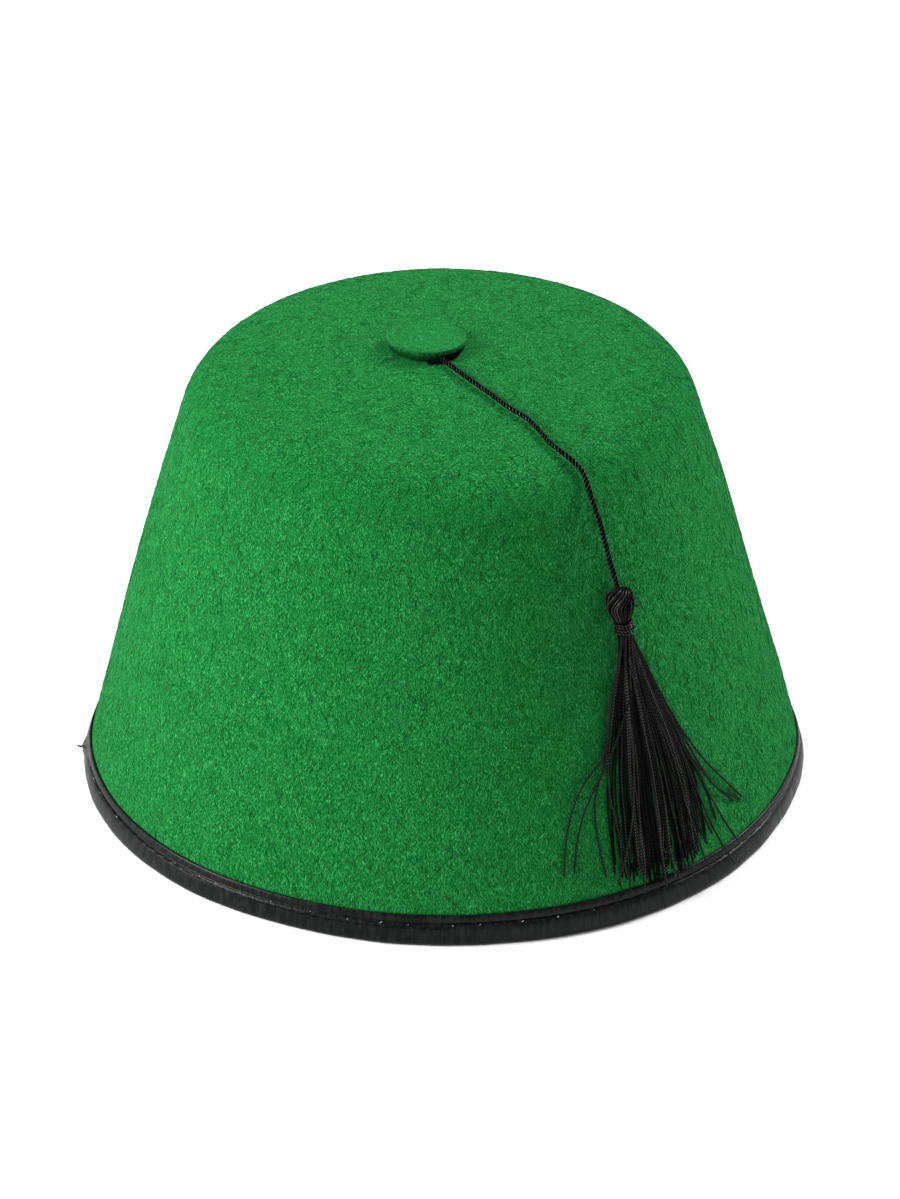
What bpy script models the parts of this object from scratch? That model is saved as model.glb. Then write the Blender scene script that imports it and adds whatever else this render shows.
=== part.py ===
"""A felt fez: a moulded crown, a bound rim, a felt button, and a tassel on a twisted cord.

Metres, +Z up. The origin is the middle of the flat ring that the rim stands on, and the front is -Y.
An azimuth is measured at the axis, in radians, from the front towards +X, which is the wearer's left.
"""

import math
from collections import namedtuple

import bmesh
import bpy
from mathutils import Matrix, Vector

# The crown's outer form: a straight side, a round shoulder and a slightly domed top
RIM_RADIUS = 0.1000
TOP_RADIUS = 0.0667
CROWN_HEIGHT = 0.1230
SHOULDER_RADIUS = 0.0183
TOP_RISE = 0.0045
FELT_THICKNESS = 0.0020

# The folded strip on the rim
BINDING_HEIGHT = 0.0088
BINDING_THICKNESS = 0.0009
REST_WIDTH = 0.0016
OVERLAP_LENGTH = 0.0120
OVERLAP_LIFT = 0.0013
OVERLAP_AZIMUTH = math.radians(-90)

# The felt disc on the top
BUTTON_RADIUS = 0.0103
BUTTON_THICKNESS = 0.0019
BUTTON_EDGE_RADIUS = 0.0004
BUTTON_SHIFT_X = -0.0047
BUTTON_SHIFT_Y = 0.0020
BUTTON_TILT = math.radians(2)

# The cord
CORD_DIAMETER = 0.0014

# The tassel, which hangs against the crown's side
TASSEL_AZIMUTH = math.radians(35)
HEAD_DROP = 0.0334
HEAD_RADIUS = 0.0038
HEAD_LENGTH = 0.0085
NECK_RADIUS = 0.0019
NECK_LENGTH = 0.0040
WRAP_THREAD = 0.0006
WRAP_GROOVE = 0.00018
WRAP_TURNS = 4
FAN_WIDTH = 0.0270
FAN_DRIFT = 0.0020
TIP_GAP = 0.0016
FAN_OPENING = 0.9
FAN_REACHES_FELT = 0.6
LOCK_WIDTH = 0.0034
LOCK_THICKNESS = 0.0017
LOCK_LAYER_STEP = 0.0010

# Between pieces that touch in the real hat
CLEARANCE = 0.0003

# Smooth shading breaks at edges sharper than this
SHARP_ANGLE = math.radians(40)

# Facets
ROUND_STEPS = 80
SHOULDER_STEPS = 7
DOME_STEPS = 3
BUTTON_STEPS = 40
CORD_POINTS = 32
CORD_SUBSTEPS = 12
HEAD_STEPS = 14
LOCK_SIDES = 8
LOCK_STEPS = 8
OVERLAP_STEPS = 5

# The middle of the cord from the button, over the shoulder, to the tassel's head
CORD_ROUTE = (
    (-0.0003, -0.0077, 0.1285),
    (0.0013, -0.0104, 0.1284),
    (0.0034, -0.0132, 0.1283),
    (0.0068, -0.0182, 0.1280),
    (0.0093, -0.0213, 0.1277),
    (0.0118, -0.0244, 0.1274),
    (0.0146, -0.0281, 0.1270),
    (0.0173, -0.0317, 0.1266),
    (0.0200, -0.0342, 0.1262),
    (0.0225, -0.0369, 0.1257),
    (0.0252, -0.0414, 0.1250),
    (0.0277, -0.0461, 0.1241),
    (0.0300, -0.0490, 0.1235),
    (0.0323, -0.0510, 0.1225),
    (0.0341, -0.0522, 0.1215),
    (0.0357, -0.0535, 0.1203),
    (0.0368, -0.0551, 0.1188),
    (0.0377, -0.0572, 0.1167),
    (0.0396, -0.0603, 0.1119),
    (0.0415, -0.0620, 0.1060),
    (0.0432, -0.0635, 0.0992),
    (0.0448, -0.0647, 0.0939),
    (0.0455, -0.0652, 0.0912),
)

# The strip's outer face, from its top edge down, as shares of its height and of its thickness
LeafPoint = namedtuple("LeafPoint", "height swell")
OUTER_LEAF = (
    LeafPoint(1.00, 0.30),
    LeafPoint(0.97, 0.62),
    LeafPoint(0.80, 0.72),
    LeafPoint(0.74, 0.40),
    LeafPoint(0.67, 1.00),
    LeafPoint(0.46, 1.25),
    LeafPoint(0.20, 1.18),
    LeafPoint(0.06, 0.72),
)

# The strip's inner face, from the bottom up
INNER_LEAF = (
    LeafPoint(0.06, 0.72),
    LeafPoint(0.20, 1.00),
    LeafPoint(0.90, 1.00),
    LeafPoint(0.96, 0.40),
)

# The loose end of the strip: how far it stands out at each height, as a share of its lift
LiftPoint = namedtuple("LiftPoint", "height lift")
OVERLAP_OUTLINE = (
    LiftPoint(0.82, 0.10),
    LiftPoint(0.58, 0.45),
    LiftPoint(0.34, 1.00),
    LiftPoint(0.16, 0.55),
)

# The head's half outline, from the cord down to the neck: shares of its length and radius
HeadPoint = namedtuple("HeadPoint", "length radius")
HEAD_OUTLINE = (
    HeadPoint(0.00, 0.46),
    HeadPoint(0.05, 0.76),
    HeadPoint(0.17, 0.95),
    HeadPoint(0.38, 1.00),
    HeadPoint(0.62, 0.94),
    HeadPoint(0.84, 0.72),
)

# The skirt's locks: place across the fan from -1 to 1, and shares of length, width and layer height
Lock = namedtuple("Lock", "side length width layer")
LOCKS = (
    Lock(-0.96, 0.985, 0.70, 0.0),
    Lock(-0.74, 1.000, 0.85, 0.0),
    Lock(-0.50, 0.975, 0.90, 0.0),
    Lock(-0.26, 1.000, 1.00, 0.0),
    Lock(-0.02, 0.985, 1.00, 0.0),
    Lock(0.22, 1.000, 1.00, 0.0),
    Lock(0.46, 0.970, 1.00, 0.0),
    Lock(0.70, 0.960, 0.90, 0.0),
    Lock(0.94, 0.900, 0.75, 0.0),
    Lock(-0.42, 0.930, 0.80, 1.0),
    Lock(-0.06, 0.950, 0.90, 1.0),
    Lock(0.30, 0.940, 0.90, 1.0),
    Lock(0.62, 0.900, 0.80, 1.0),
)

# A lock's section along its way to the tip: shares of its width and thickness
LockSection = namedtuple("LockSection", "width thickness")
LOCK_START = LockSection(0.42, 1.20)
LOCK_MIDDLE = LockSection(1.00, 1.00)
LOCK_TIP = LockSection(0.62, 0.45)

SIDE_SLOPE = math.atan2(RIM_RADIUS - TOP_RADIUS, CROWN_HEIGHT)

GREEN_FELT = (0.017, 0.205, 0.046)
BLACK_LEATHER = (0.016, 0.018, 0.018)
BLACK_THREAD = (0.010, 0.010, 0.010)


def side_radius(height):
    """Radius of the crown's straight side line at a height."""
    return RIM_RADIUS - height * math.tan(SIDE_SLOPE)


def shoulder_centre():
    """Radius and height of the middle of the shoulder's arc, which touches the side and the top."""
    turn = math.pi / 2 - SIDE_SLOPE
    back = SHOULDER_RADIUS * math.tan(turn / 2)
    return TOP_RADIUS - back, CROWN_HEIGHT - SHOULDER_RADIUS


def dome_radius():
    """Radius of the top's arc, which runs smoothly into the shoulder's arc."""
    radius, height = shoulder_centre()
    reach = CROWN_HEIGHT + TOP_RISE - height
    return (radius**2 + reach**2 - SHOULDER_RADIUS**2) / (2 * TOP_RISE)


def top_height(radius):
    """Height of the domed top at a distance from the axis."""
    dome = dome_radius()
    return CROWN_HEIGHT + TOP_RISE - dome + math.sqrt(dome**2 - radius**2)


def seat_share(height):
    """Share of the way up the strip's pocket, from the felt's cut edge to the strip's top edge."""
    foot = BINDING_THICKNESS + CLEARANCE
    return (height - foot) / (BINDING_HEIGHT - foot)


def foot_radius():
    """Outer radius of the felt's cut edge, pressed in so that the strip is widest at the rim's radius."""
    feet = []
    for point in OUTER_LEAF[1:]:
        share = seat_share(point.height * BINDING_HEIGHT)
        seat = RIM_RADIUS - BINDING_THICKNESS * point.swell - CLEARANCE
        feet.append((seat - share * side_radius(BINDING_HEIGHT)) / (1 - share))
    return min(feet)


def seat_radius(height):
    """Outer radius of the felt inside the strip, at a height."""
    return foot_radius() + seat_share(height) * (side_radius(BINDING_HEIGHT) - foot_radius())


def crown_outline(inset):
    """Points (radius, height) of the felt's surface, inset into it, from the axis down to the rim."""
    dome = dome_radius() - inset
    dome_centre = CROWN_HEIGHT + TOP_RISE - dome_radius()
    arc_radius, arc_height = shoulder_centre()
    join = math.asin(arc_radius / (dome_radius() - SHOULDER_RADIUS))
    points = []
    for step in range(DOME_STEPS):
        angle = join * step / DOME_STEPS
        points.append((dome * math.sin(angle), dome_centre + dome * math.cos(angle)))
    shoulder = SHOULDER_RADIUS - inset
    end = math.pi / 2 - SIDE_SLOPE
    for step in range(SHOULDER_STEPS + 1):
        angle = join + (end - join) * step / SHOULDER_STEPS
        points.append(
            (arc_radius + shoulder * math.sin(angle), arc_height + shoulder * math.cos(angle))
        )
    points.append((side_radius(BINDING_HEIGHT) - inset / math.cos(SIDE_SLOPE), BINDING_HEIGHT))
    points.append((foot_radius() - inset, BINDING_THICKNESS + CLEARANCE))
    return points


def strip_outline():
    """Closed outline (radius, height) of the folded strip, down its outer face and up its inner face."""
    outside = CLEARANCE
    inside = -FELT_THICKNESS - CLEARANCE
    points = []
    for point in OUTER_LEAF:
        height = point.height * BINDING_HEIGHT
        points.append((seat_radius(height) + outside + point.swell * BINDING_THICKNESS, height))
    middle = foot_radius() - FELT_THICKNESS / 2
    points.append((middle + REST_WIDTH / 2, 0.0))
    points.append((middle - REST_WIDTH / 2, 0.0))
    for point in INNER_LEAF:
        height = point.height * BINDING_HEIGHT
        points.append((seat_radius(height) + inside - point.swell * BINDING_THICKNESS, height))
    inner_top = INNER_LEAF[-1].height * BINDING_HEIGHT
    points.append((seat_radius(inner_top) + inside, inner_top))
    points.append((foot_radius() + inside, BINDING_THICKNESS))
    points.append((foot_radius() + outside, BINDING_THICKNESS))
    points.append((seat_radius(BINDING_HEIGHT) + outside, BINDING_HEIGHT))
    return points


def radial(azimuth):
    """Unit vector from the axis outwards at an azimuth."""
    return Vector((math.sin(azimuth), -math.cos(azimuth), 0.0))


def around_axis(azimuth):
    """Unit vector along the rim, in the direction in which the azimuth grows."""
    return Vector((math.cos(azimuth), math.sin(azimuth), 0.0))


def on_side(azimuth, height, standoff):
    """Frame on the crown's side: x points out of the felt, y along the rim, z up the slope."""
    out = radial(azimuth) * math.cos(SIDE_SLOPE) + Vector((0.0, 0.0, math.sin(SIDE_SLOPE)))
    along = around_axis(azimuth)
    up = out.cross(along)
    place = radial(azimuth) * side_radius(height) + Vector((0.0, 0.0, height)) + out * standoff
    frame = Matrix((out, along, up)).transposed().to_4x4()
    frame.translation = place
    return frame


def material(name, colour, roughness):
    """A plain Principled material."""
    made = bpy.data.materials.new(name)
    made.use_nodes = True
    shader = made.node_tree.nodes["Principled BSDF"]
    shader.inputs["Base Color"].default_value = (*colour, 1.0)
    shader.inputs["Roughness"].default_value = roughness
    shader.inputs["Metallic"].default_value = 0.0
    return made


def finish(bm, name, made_of):
    """Turns a bmesh into a smooth-shaded object."""
    bmesh.ops.remove_doubles(bm, verts=bm.verts[:], dist=1e-6)
    bmesh.ops.recalc_face_normals(bm, faces=bm.faces[:])
    mesh = bpy.data.meshes.new(name)
    bm.to_mesh(mesh)
    bm.free()
    mesh.shade_smooth()
    mesh.set_sharp_from_angle(angle=SHARP_ANGLE)
    mesh.materials.append(made_of)
    made = bpy.data.objects.new(name, mesh)
    bpy.context.scene.collection.objects.link(made)
    return made


def spin_outline(bm, points, steps, closed):
    """Turns an outline (radius, height) round the Z axis."""
    verts = [bm.verts.new((radius, 0.0, height)) for radius, height in points]
    pairs = list(zip(verts, verts[1:]))
    if closed:
        pairs.append((verts[-1], verts[0]))
    edges = [bm.edges.new(pair) for pair in pairs]
    bmesh.ops.spin(
        bm,
        geom=verts + edges,
        cent=(0, 0, 0),
        axis=(0, 0, 1),
        angle=math.tau,
        steps=steps,
        use_merge=True,
    )


def bridge_rings(bm, rings):
    """Joins rings of corner points, each a list of vectors, into one closed tube."""
    loops = []
    for ring in rings:
        verts = [bm.verts.new(point) for point in ring]
        loops.append([bm.edges.new(pair) for pair in zip(verts, verts[1:] + verts[:1])])
    for near, far in zip(loops, loops[1:]):
        bmesh.ops.bridge_loops(bm, edges=near + far)
    bmesh.ops.contextual_create(bm, geom=loops[0])
    bmesh.ops.contextual_create(bm, geom=loops[-1])


def make_crown(felt):
    """The moulded felt shell, open below."""
    outline = crown_outline(0.0) + crown_outline(FELT_THICKNESS)[::-1]
    bm = bmesh.new()
    spin_outline(bm, outline, ROUND_STEPS, closed=False)
    return finish(bm, "crown", felt)


def make_overlap(leather):
    """The strip's loose end, which stands a little off the rim where the strip's two ends meet."""
    sunk = BINDING_THICKNESS / 2
    rings = []
    for step in range(OVERLAP_STEPS + 1):
        away = step / OVERLAP_STEPS
        azimuth = OVERLAP_AZIMUTH - away * OVERLAP_LENGTH / RIM_RADIUS
        lift = OVERLAP_LIFT * (1 - away)
        outer = []
        inner = []
        for point in OVERLAP_OUTLINE:
            height = point.height * BINDING_HEIGHT
            face = seat_radius(height) + CLEARANCE + BINDING_THICKNESS
            outer.append(radial(azimuth) * (face + lift * point.lift) + Vector((0, 0, height)))
            inner.append(radial(azimuth) * (face - sunk) + Vector((0, 0, height)))
        rings.append(outer + inner[::-1])
    bm = bmesh.new()
    bridge_rings(bm, rings)
    return finish(bm, "binding_overlap", leather)


def make_binding(leather):
    """The folded strip round the rim, with its loose end."""
    bm = bmesh.new()
    spin_outline(bm, strip_outline(), ROUND_STEPS, closed=True)
    strip = finish(bm, "rim_binding", leather)
    join(strip, [make_overlap(leather)])
    return strip


def make_button(felt):
    """The felt disc, resting near the middle of the top."""
    low_edge = BUTTON_RADIUS * math.sin(BUTTON_TILT)
    middle = top_height(0.0) + CLEARANCE + low_edge + BUTTON_THICKNESS / 2
    place = Matrix.Translation((BUTTON_SHIFT_X, BUTTON_SHIFT_Y, middle))
    bm = bmesh.new()
    bmesh.ops.create_cone(
        bm,
        cap_ends=True,
        segments=BUTTON_STEPS,
        radius1=BUTTON_RADIUS,
        radius2=BUTTON_RADIUS,
        depth=BUTTON_THICKNESS,
        matrix=place @ Matrix.Rotation(BUTTON_TILT, 4, "Y"),
    )
    rims = [edge for edge in bm.edges if any(len(face.verts) > 4 for face in edge.link_faces)]
    bmesh.ops.bevel(
        bm,
        geom=rims,
        offset=BUTTON_EDGE_RADIUS,
        offset_type="OFFSET",
        segments=2,
        profile=0.5,
        affect="EDGES",
        material=-1,
    )
    return finish(bm, "button", felt)


def between(a, b, c, d, share):
    """Point on the Catmull-Rom curve through a, b, c and d, at a share of the way from b to c."""
    start_slope = (c - a) / 2
    end_slope = (d - b) / 2
    bend = 3 * (c - b) - 2 * start_slope - end_slope
    twist = 2 * (b - c) + start_slope + end_slope
    return b + start_slope * share + bend * share**2 + twist * share**3


def smooth_route(points, count):
    """Evenly spaced points on the smooth curve through the route's own points."""
    route = [Vector(point) for point in points]
    route = [2 * route[0] - route[1], *route, 2 * route[-1] - route[-2]]
    fine = []
    for a, b, c, d in zip(route, route[1:], route[2:], route[3:]):
        fine += [between(a, b, c, d, step / CORD_SUBSTEPS) for step in range(CORD_SUBSTEPS)]
    fine.append(route[-2])
    lengths = [0.0]
    for a, b in zip(fine, fine[1:]):
        lengths.append(lengths[-1] + (b - a).length)
    even = []
    place = 0
    for step in range(count):
        wanted = lengths[-1] * step / (count - 1)
        while place < len(fine) - 2 and lengths[place + 1] < wanted:
            place += 1
        share = (wanted - lengths[place]) / (lengths[place + 1] - lengths[place])
        even.append(fine[place].lerp(fine[place + 1], share))
    return even


def make_cord(thread):
    """The cord from under the button, over the shoulder, to the tassel."""
    curve = bpy.data.curves.new("cord", "CURVE")
    curve.dimensions = "3D"
    curve.bevel_depth = CORD_DIAMETER / 2
    curve.bevel_resolution = 2
    curve.use_fill_caps = True
    line = curve.splines.new("POLY")
    line.points.add(CORD_POINTS - 1)
    for point, place in zip(line.points, smooth_route(CORD_ROUTE, CORD_POINTS)):
        point.co = (*place, 1.0)
    curve.materials.append(thread)
    cord = bpy.data.objects.new("cord", curve)
    bpy.context.scene.collection.objects.link(cord)
    return cord


def head_top():
    """Height on the crown's side of the top of the tassel's head."""
    return CROWN_HEIGHT - HEAD_DROP


def tassel_frame():
    """Frame at the top of the tassel's head, with z up its middle line."""
    return on_side(TASSEL_AZIMUTH, head_top(), HEAD_RADIUS + CLEARANCE)


def skirt_start():
    """How far down the middle line the locks leave the neck's winding."""
    return HEAD_LENGTH + NECK_LENGTH + CLEARANCE


def make_head(thread):
    """The tassel's head and neck, turned round its middle line, with a core that the locks leave from."""
    core = skirt_start() + LOCK_WIDTH
    points = [(0.0, 0.0)]
    points += [(p.radius * HEAD_RADIUS, -p.length * HEAD_LENGTH) for p in HEAD_OUTLINE]
    points += [(NECK_RADIUS, -HEAD_LENGTH), (NECK_RADIUS, -core), (0.0, -core)]
    bm = bmesh.new()
    spin_outline(bm, points, HEAD_STEPS, closed=False)
    bmesh.ops.transform(bm, matrix=tassel_frame(), verts=bm.verts[:])
    return finish(bm, "tassel", thread)


def ease(share):
    """A share from 0 to 1, slow at both ends."""
    share = min(share, 1.0)
    return share * share * (3 - 2 * share)


def lock_section(share):
    """Half width and half thickness of a lock at a share of its way from the neck to its tip."""
    if share < 0.5:
        high, low, eased = LOCK_START, LOCK_MIDDLE, ease(share * 2)
    else:
        high, low, eased = LOCK_MIDDLE, LOCK_TIP, ease(share * 2 - 1)
    width = high.width + (low.width - high.width) * eased
    thickness = high.thickness + (low.thickness - high.thickness) * eased
    return width * LOCK_WIDTH / 2, thickness * LOCK_THICKNESS / 2


def fan_sag(half_width, height):
    """How far the round side falls away from a flat lock at half its width."""
    return half_width**2 / (2 * side_radius(height))


def make_lock(number, lock, thread):
    """One lock of the skirt, lying down the crown's side from the neck to its tip."""
    start = head_top() - skirt_start() * math.cos(SIDE_SLOPE)
    tip = BINDING_HEIGHT + TIP_GAP
    run = (start - tip) * lock.length
    neck_standoff = HEAD_RADIUS + CLEARANCE
    neck_spread = NECK_RADIUS / 2
    rings = []
    for step in range(LOCK_STEPS + 1):
        share = step / LOCK_STEPS
        height = start - run * share
        half_width, half_thickness = lock_section(share)
        half_width *= lock.width
        lying = CLEARANCE + half_thickness + fan_sag(half_width, height) + lock.layer * LOCK_LAYER_STEP
        standoff = neck_standoff + (lying - neck_standoff) * ease(share / FAN_REACHES_FELT)
        spread = neck_spread + (FAN_WIDTH / 2 - neck_spread) * share**FAN_OPENING
        across = lock.side * spread + FAN_DRIFT * share
        frame = on_side(TASSEL_AZIMUTH + across / side_radius(height), height, standoff)
        ring = []
        for side in range(LOCK_SIDES):
            angle = math.tau * (side + 0.5) / LOCK_SIDES
            corner = Vector((half_thickness * math.sin(angle), half_width * math.cos(angle), 0.0))
            ring.append(frame @ corner)
        rings.append(ring)
    bm = bmesh.new()
    bridge_rings(bm, rings)
    return finish(bm, f"tassel_lock_{number:02d}", thread)


def make_tassel(thread):
    """The tassel's head and the locks of its skirt, fused."""
    head = make_head(thread)
    join(head, [make_lock(number, lock, thread) for number, lock in enumerate(LOCKS, start=1)])
    return head


def make_neck_wrap(thread):
    """The turns of thread that tie the tassel's neck."""
    inner = NECK_RADIUS + CLEARANCE
    turn = (NECK_LENGTH - CLEARANCE) / WRAP_TURNS
    top = -HEAD_LENGTH - CLEARANCE / 2
    groove = inner + WRAP_THREAD - WRAP_GROOVE
    points = [(inner, top - turn * WRAP_TURNS), (inner, top), (groove, top)]
    for number in range(WRAP_TURNS):
        points.append((inner + WRAP_THREAD, top - turn * (number + 0.5)))
        points.append((groove, top - turn * (number + 1)))
    bm = bmesh.new()
    spin_outline(bm, points, HEAD_STEPS, closed=True)
    bmesh.ops.transform(bm, matrix=tassel_frame(), verts=bm.verts[:])
    return finish(bm, "neck_wrap", thread)


def join(body, pieces):
    """Fuses hidden pieces to a body with one Boolean union."""
    group = bpy.data.collections.new(f"{body.name}_joined")
    bpy.context.scene.collection.children.link(group)
    for piece in pieces:
        bpy.context.scene.collection.objects.unlink(piece)
        group.objects.link(piece)
        piece.hide_render = True
        piece.display_type = "WIRE"
    union = body.modifiers.new("joined pieces", "BOOLEAN")
    union.operation = "UNION"
    union.solver = "EXACT"
    union.operand_type = "COLLECTION"
    union.collection = group


def main():
    for old in list(bpy.data.objects):
        bpy.data.objects.remove(old)
    felt = material("green felt", GREEN_FELT, 0.95)
    leather = material("black imitation leather", BLACK_LEATHER, 0.42)
    thread = material("black thread", BLACK_THREAD, 0.5)
    make_crown(felt)
    make_binding(leather)
    make_button(felt)
    make_cord(thread)
    make_tassel(thread)
    make_neck_wrap(thread)


main()
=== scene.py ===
"""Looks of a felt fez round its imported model: felt, bound rim, button, twisted cord and tassel.

Metres, +Z up. The front is -Y, and an azimuth is measured at the axis, from the front towards +X.
The rim stands on the floor at z = 0, and the sizes of the felt's form are those of the solids.
"""

import logging
import math
from dataclasses import dataclass
from enum import Enum

import bmesh
import bpy
import numpy as np
from mathutils import Euler, Matrix, Vector, noise


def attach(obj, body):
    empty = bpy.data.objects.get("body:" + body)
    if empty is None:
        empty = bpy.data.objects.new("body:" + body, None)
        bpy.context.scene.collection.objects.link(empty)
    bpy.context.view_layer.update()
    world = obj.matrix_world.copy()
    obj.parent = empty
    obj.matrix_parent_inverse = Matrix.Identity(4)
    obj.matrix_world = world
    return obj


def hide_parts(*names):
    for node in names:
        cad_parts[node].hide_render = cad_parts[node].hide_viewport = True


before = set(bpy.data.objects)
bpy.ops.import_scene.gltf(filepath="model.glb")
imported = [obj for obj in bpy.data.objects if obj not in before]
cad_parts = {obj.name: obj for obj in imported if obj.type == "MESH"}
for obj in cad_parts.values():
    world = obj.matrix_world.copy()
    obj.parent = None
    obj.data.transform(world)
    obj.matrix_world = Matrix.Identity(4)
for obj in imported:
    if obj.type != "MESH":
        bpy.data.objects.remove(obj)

log = logging.getLogger("fez")

Piece = bpy.types.Object
Finish = bpy.types.Material
Tree = bpy.types.NodeTree
Node = bpy.types.Node
Socket = bpy.types.NodeSocket
Shape = bmesh.types.BMesh
Array = np.ndarray

BODY = "root"
MILLIMETRES = 1000
UP = np.array([0.0, 0.0, 1.0])

# Attributes that the pieces keep for their materials
FIBRE_SHADE = "fibre_shade"
# Painted shade down the button's cut wall, with the cut felt's own darker tone
PAINTED_EDGE_SHADE = "painted_edge_shade"
THREAD_WAY = "thread_way"
# How strongly each thread's painted glints show
PAINTED_GLINT = "painted_glint"

# The middle of the cord, from under the button, over the shoulder, to the tassel's head
CORD_ROUTE = (
    (-0.0003, -0.0077, 0.1285), (0.0013, -0.0104, 0.1284), (0.0034, -0.0132, 0.1283),
    (0.0068, -0.0182, 0.1280), (0.0093, -0.0213, 0.1277), (0.0118, -0.0244, 0.1274),
    (0.0146, -0.0281, 0.1270), (0.0173, -0.0317, 0.1266), (0.0200, -0.0342, 0.1262),
    (0.0225, -0.0369, 0.1257), (0.0252, -0.0414, 0.1250), (0.0277, -0.0461, 0.1241),
    (0.0300, -0.0490, 0.1235), (0.0323, -0.0510, 0.1225), (0.0341, -0.0522, 0.1215),
    (0.0357, -0.0535, 0.1203), (0.0368, -0.0551, 0.1188), (0.0377, -0.0572, 0.1167),
    (0.0396, -0.0603, 0.1119), (0.0415, -0.0620, 0.1060), (0.0432, -0.0635, 0.0992),
    (0.0448, -0.0647, 0.0939), (0.0455, -0.0652, 0.0912),
)


class Slot(Enum):
    """The record's material slots."""

    FELT = "felt"
    LEATHER = "imitation_leather"
    THREAD = "thread"


def ease(share: Array) -> Array:
    """A share from 0 to 1, slow at both ends."""
    held = np.clip(share, 0.0, 1.0)
    return held * held * (3 - 2 * held)


def lengths_along(points: Array) -> Array:
    """Length of the way to each point of one path or of several, from its first point.

    Args:
        points: The points, with the axes last and the points of each path before them.

    Returns:
        The lengths, one for each point.
    """
    steps = np.linalg.norm(np.diff(points, axis=-2), axis=-1)
    start = np.zeros(steps.shape[:-1] + (1,))
    return np.concatenate([start, np.cumsum(steps, axis=-1)], axis=-1)


def smooth_path(points: Array, count: int) -> Array:
    """Evenly spaced points on the Catmull-Rom curve through a path's own points.

    Args:
        points: The path's own points, one in each row.
        count: How many points to return.

    Returns:
        The points on the curve, one in each row.
    """
    own = np.asarray(points, float)
    own = np.vstack([2 * own[0] - own[1], own, 2 * own[-1] - own[-2]])
    share = np.linspace(0.0, 1.0, 12, endpoint=False)[:, None]
    runs = []
    for a, b, c, d in zip(own, own[1:], own[2:], own[3:]):
        start = (c - a) / 2
        end = (d - b) / 2
        bend = 3 * (c - b) - 2 * start - end
        twist = 2 * (b - c) + start + end
        runs.append(b + start * share + bend * share**2 + twist * share**3)
    fine = np.vstack([*runs, own[-2]])
    along = lengths_along(fine)
    wanted = np.linspace(0.0, along[-1], count)
    return np.stack([np.interp(wanted, along, fine[:, axis]) for axis in range(fine.shape[1])], axis=1)


def unit(vectors: Array) -> Array:
    """Vectors of length 1 with the same directions."""
    return vectors / np.maximum(np.linalg.norm(vectors, axis=-1, keepdims=True), 1e-12)


def around(azimuth: Array, radius: Array | float, height: Array | float) -> Array:
    """Points at azimuths, at a distance from the axis and at a height."""
    ways = (radius * np.sin(azimuth), -radius * np.cos(azimuth), height)
    return np.stack(np.broadcast_arrays(*ways), axis=-1)


def unevenness(points: Array, wavelength: float, seed: float = 0.0) -> Array:
    """Soft noise from about -1 to 1 at each point.

    Args:
        points: Places, one in each row, in metres.
        wavelength: Size of the noise's lumps, in metres.
        seed: Moves the noise, so that two uses differ.

    Returns:
        One value for each row.
    """
    shift = Vector((seed, seed * 0.7, -seed))
    return np.array([noise.noise(Vector(point) / wavelength + shift) for point in points])


def piece_from(bm: Shape, name: str, finish: Finish) -> Piece:
    """Turns a bmesh into a smooth-shaded object at the origin.

    Args:
        bm: The shape, which is freed.
        name: The piece's name.
        finish: Its material.

    Returns:
        The object.
    """
    mesh = bpy.data.meshes.new(name)
    bm.to_mesh(mesh)
    bm.free()
    mesh.shade_smooth()
    mesh.materials.append(finish)
    piece = bpy.data.objects.new(name, mesh)
    bpy.context.scene.collection.objects.link(piece)
    return piece


def turned_form(outline: list[tuple[float, float]], steps: int, closed: bool = False) -> Shape:
    """Turns an outline round the upright axis.

    Args:
        outline: Radius and height of each point.
        steps: How many faces go round.
        closed: Whether the last point joins the first.

    Returns:
        The shape, with its normals outwards.
    """
    bm = bmesh.new()
    verts = [bm.verts.new((radius, 0.0, height)) for radius, height in outline]
    ends = verts[1:] + verts[:1] if closed else verts[1:]
    edges = [bm.edges.new(pair) for pair in zip(verts, ends)]
    bmesh.ops.spin(
        bm, geom=verts + edges, cent=(0, 0, 0), axis=(0, 0, 1), angle=math.tau, steps=steps, use_merge=True
    )
    bmesh.ops.remove_doubles(bm, verts=bm.verts[:], dist=1e-6)
    bmesh.ops.recalc_face_normals(bm, faces=bm.faces[:])
    return bm


def bridged_form(rings: list[Array]) -> Shape:
    """Joins closed rings of points, each to the next, and closes both ends.

    Args:
        rings: The points of each ring, with as many in one as in the next.

    Returns:
        The shape, with its normals outwards.
    """
    bm = bmesh.new()
    loops = []
    for ring in rings:
        verts = [bm.verts.new(point) for point in ring]
        loops.append([bm.edges.new(pair) for pair in zip(verts, verts[1:] + verts[:1])])
    for near, far in zip(loops, loops[1:]):
        bmesh.ops.bridge_loops(bm, edges=near + far)
    bmesh.ops.holes_fill(bm, edges=[edge for edge in bm.edges if edge.is_boundary])
    bmesh.ops.recalc_face_normals(bm, faces=bm.faces[:])
    return bm


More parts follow.
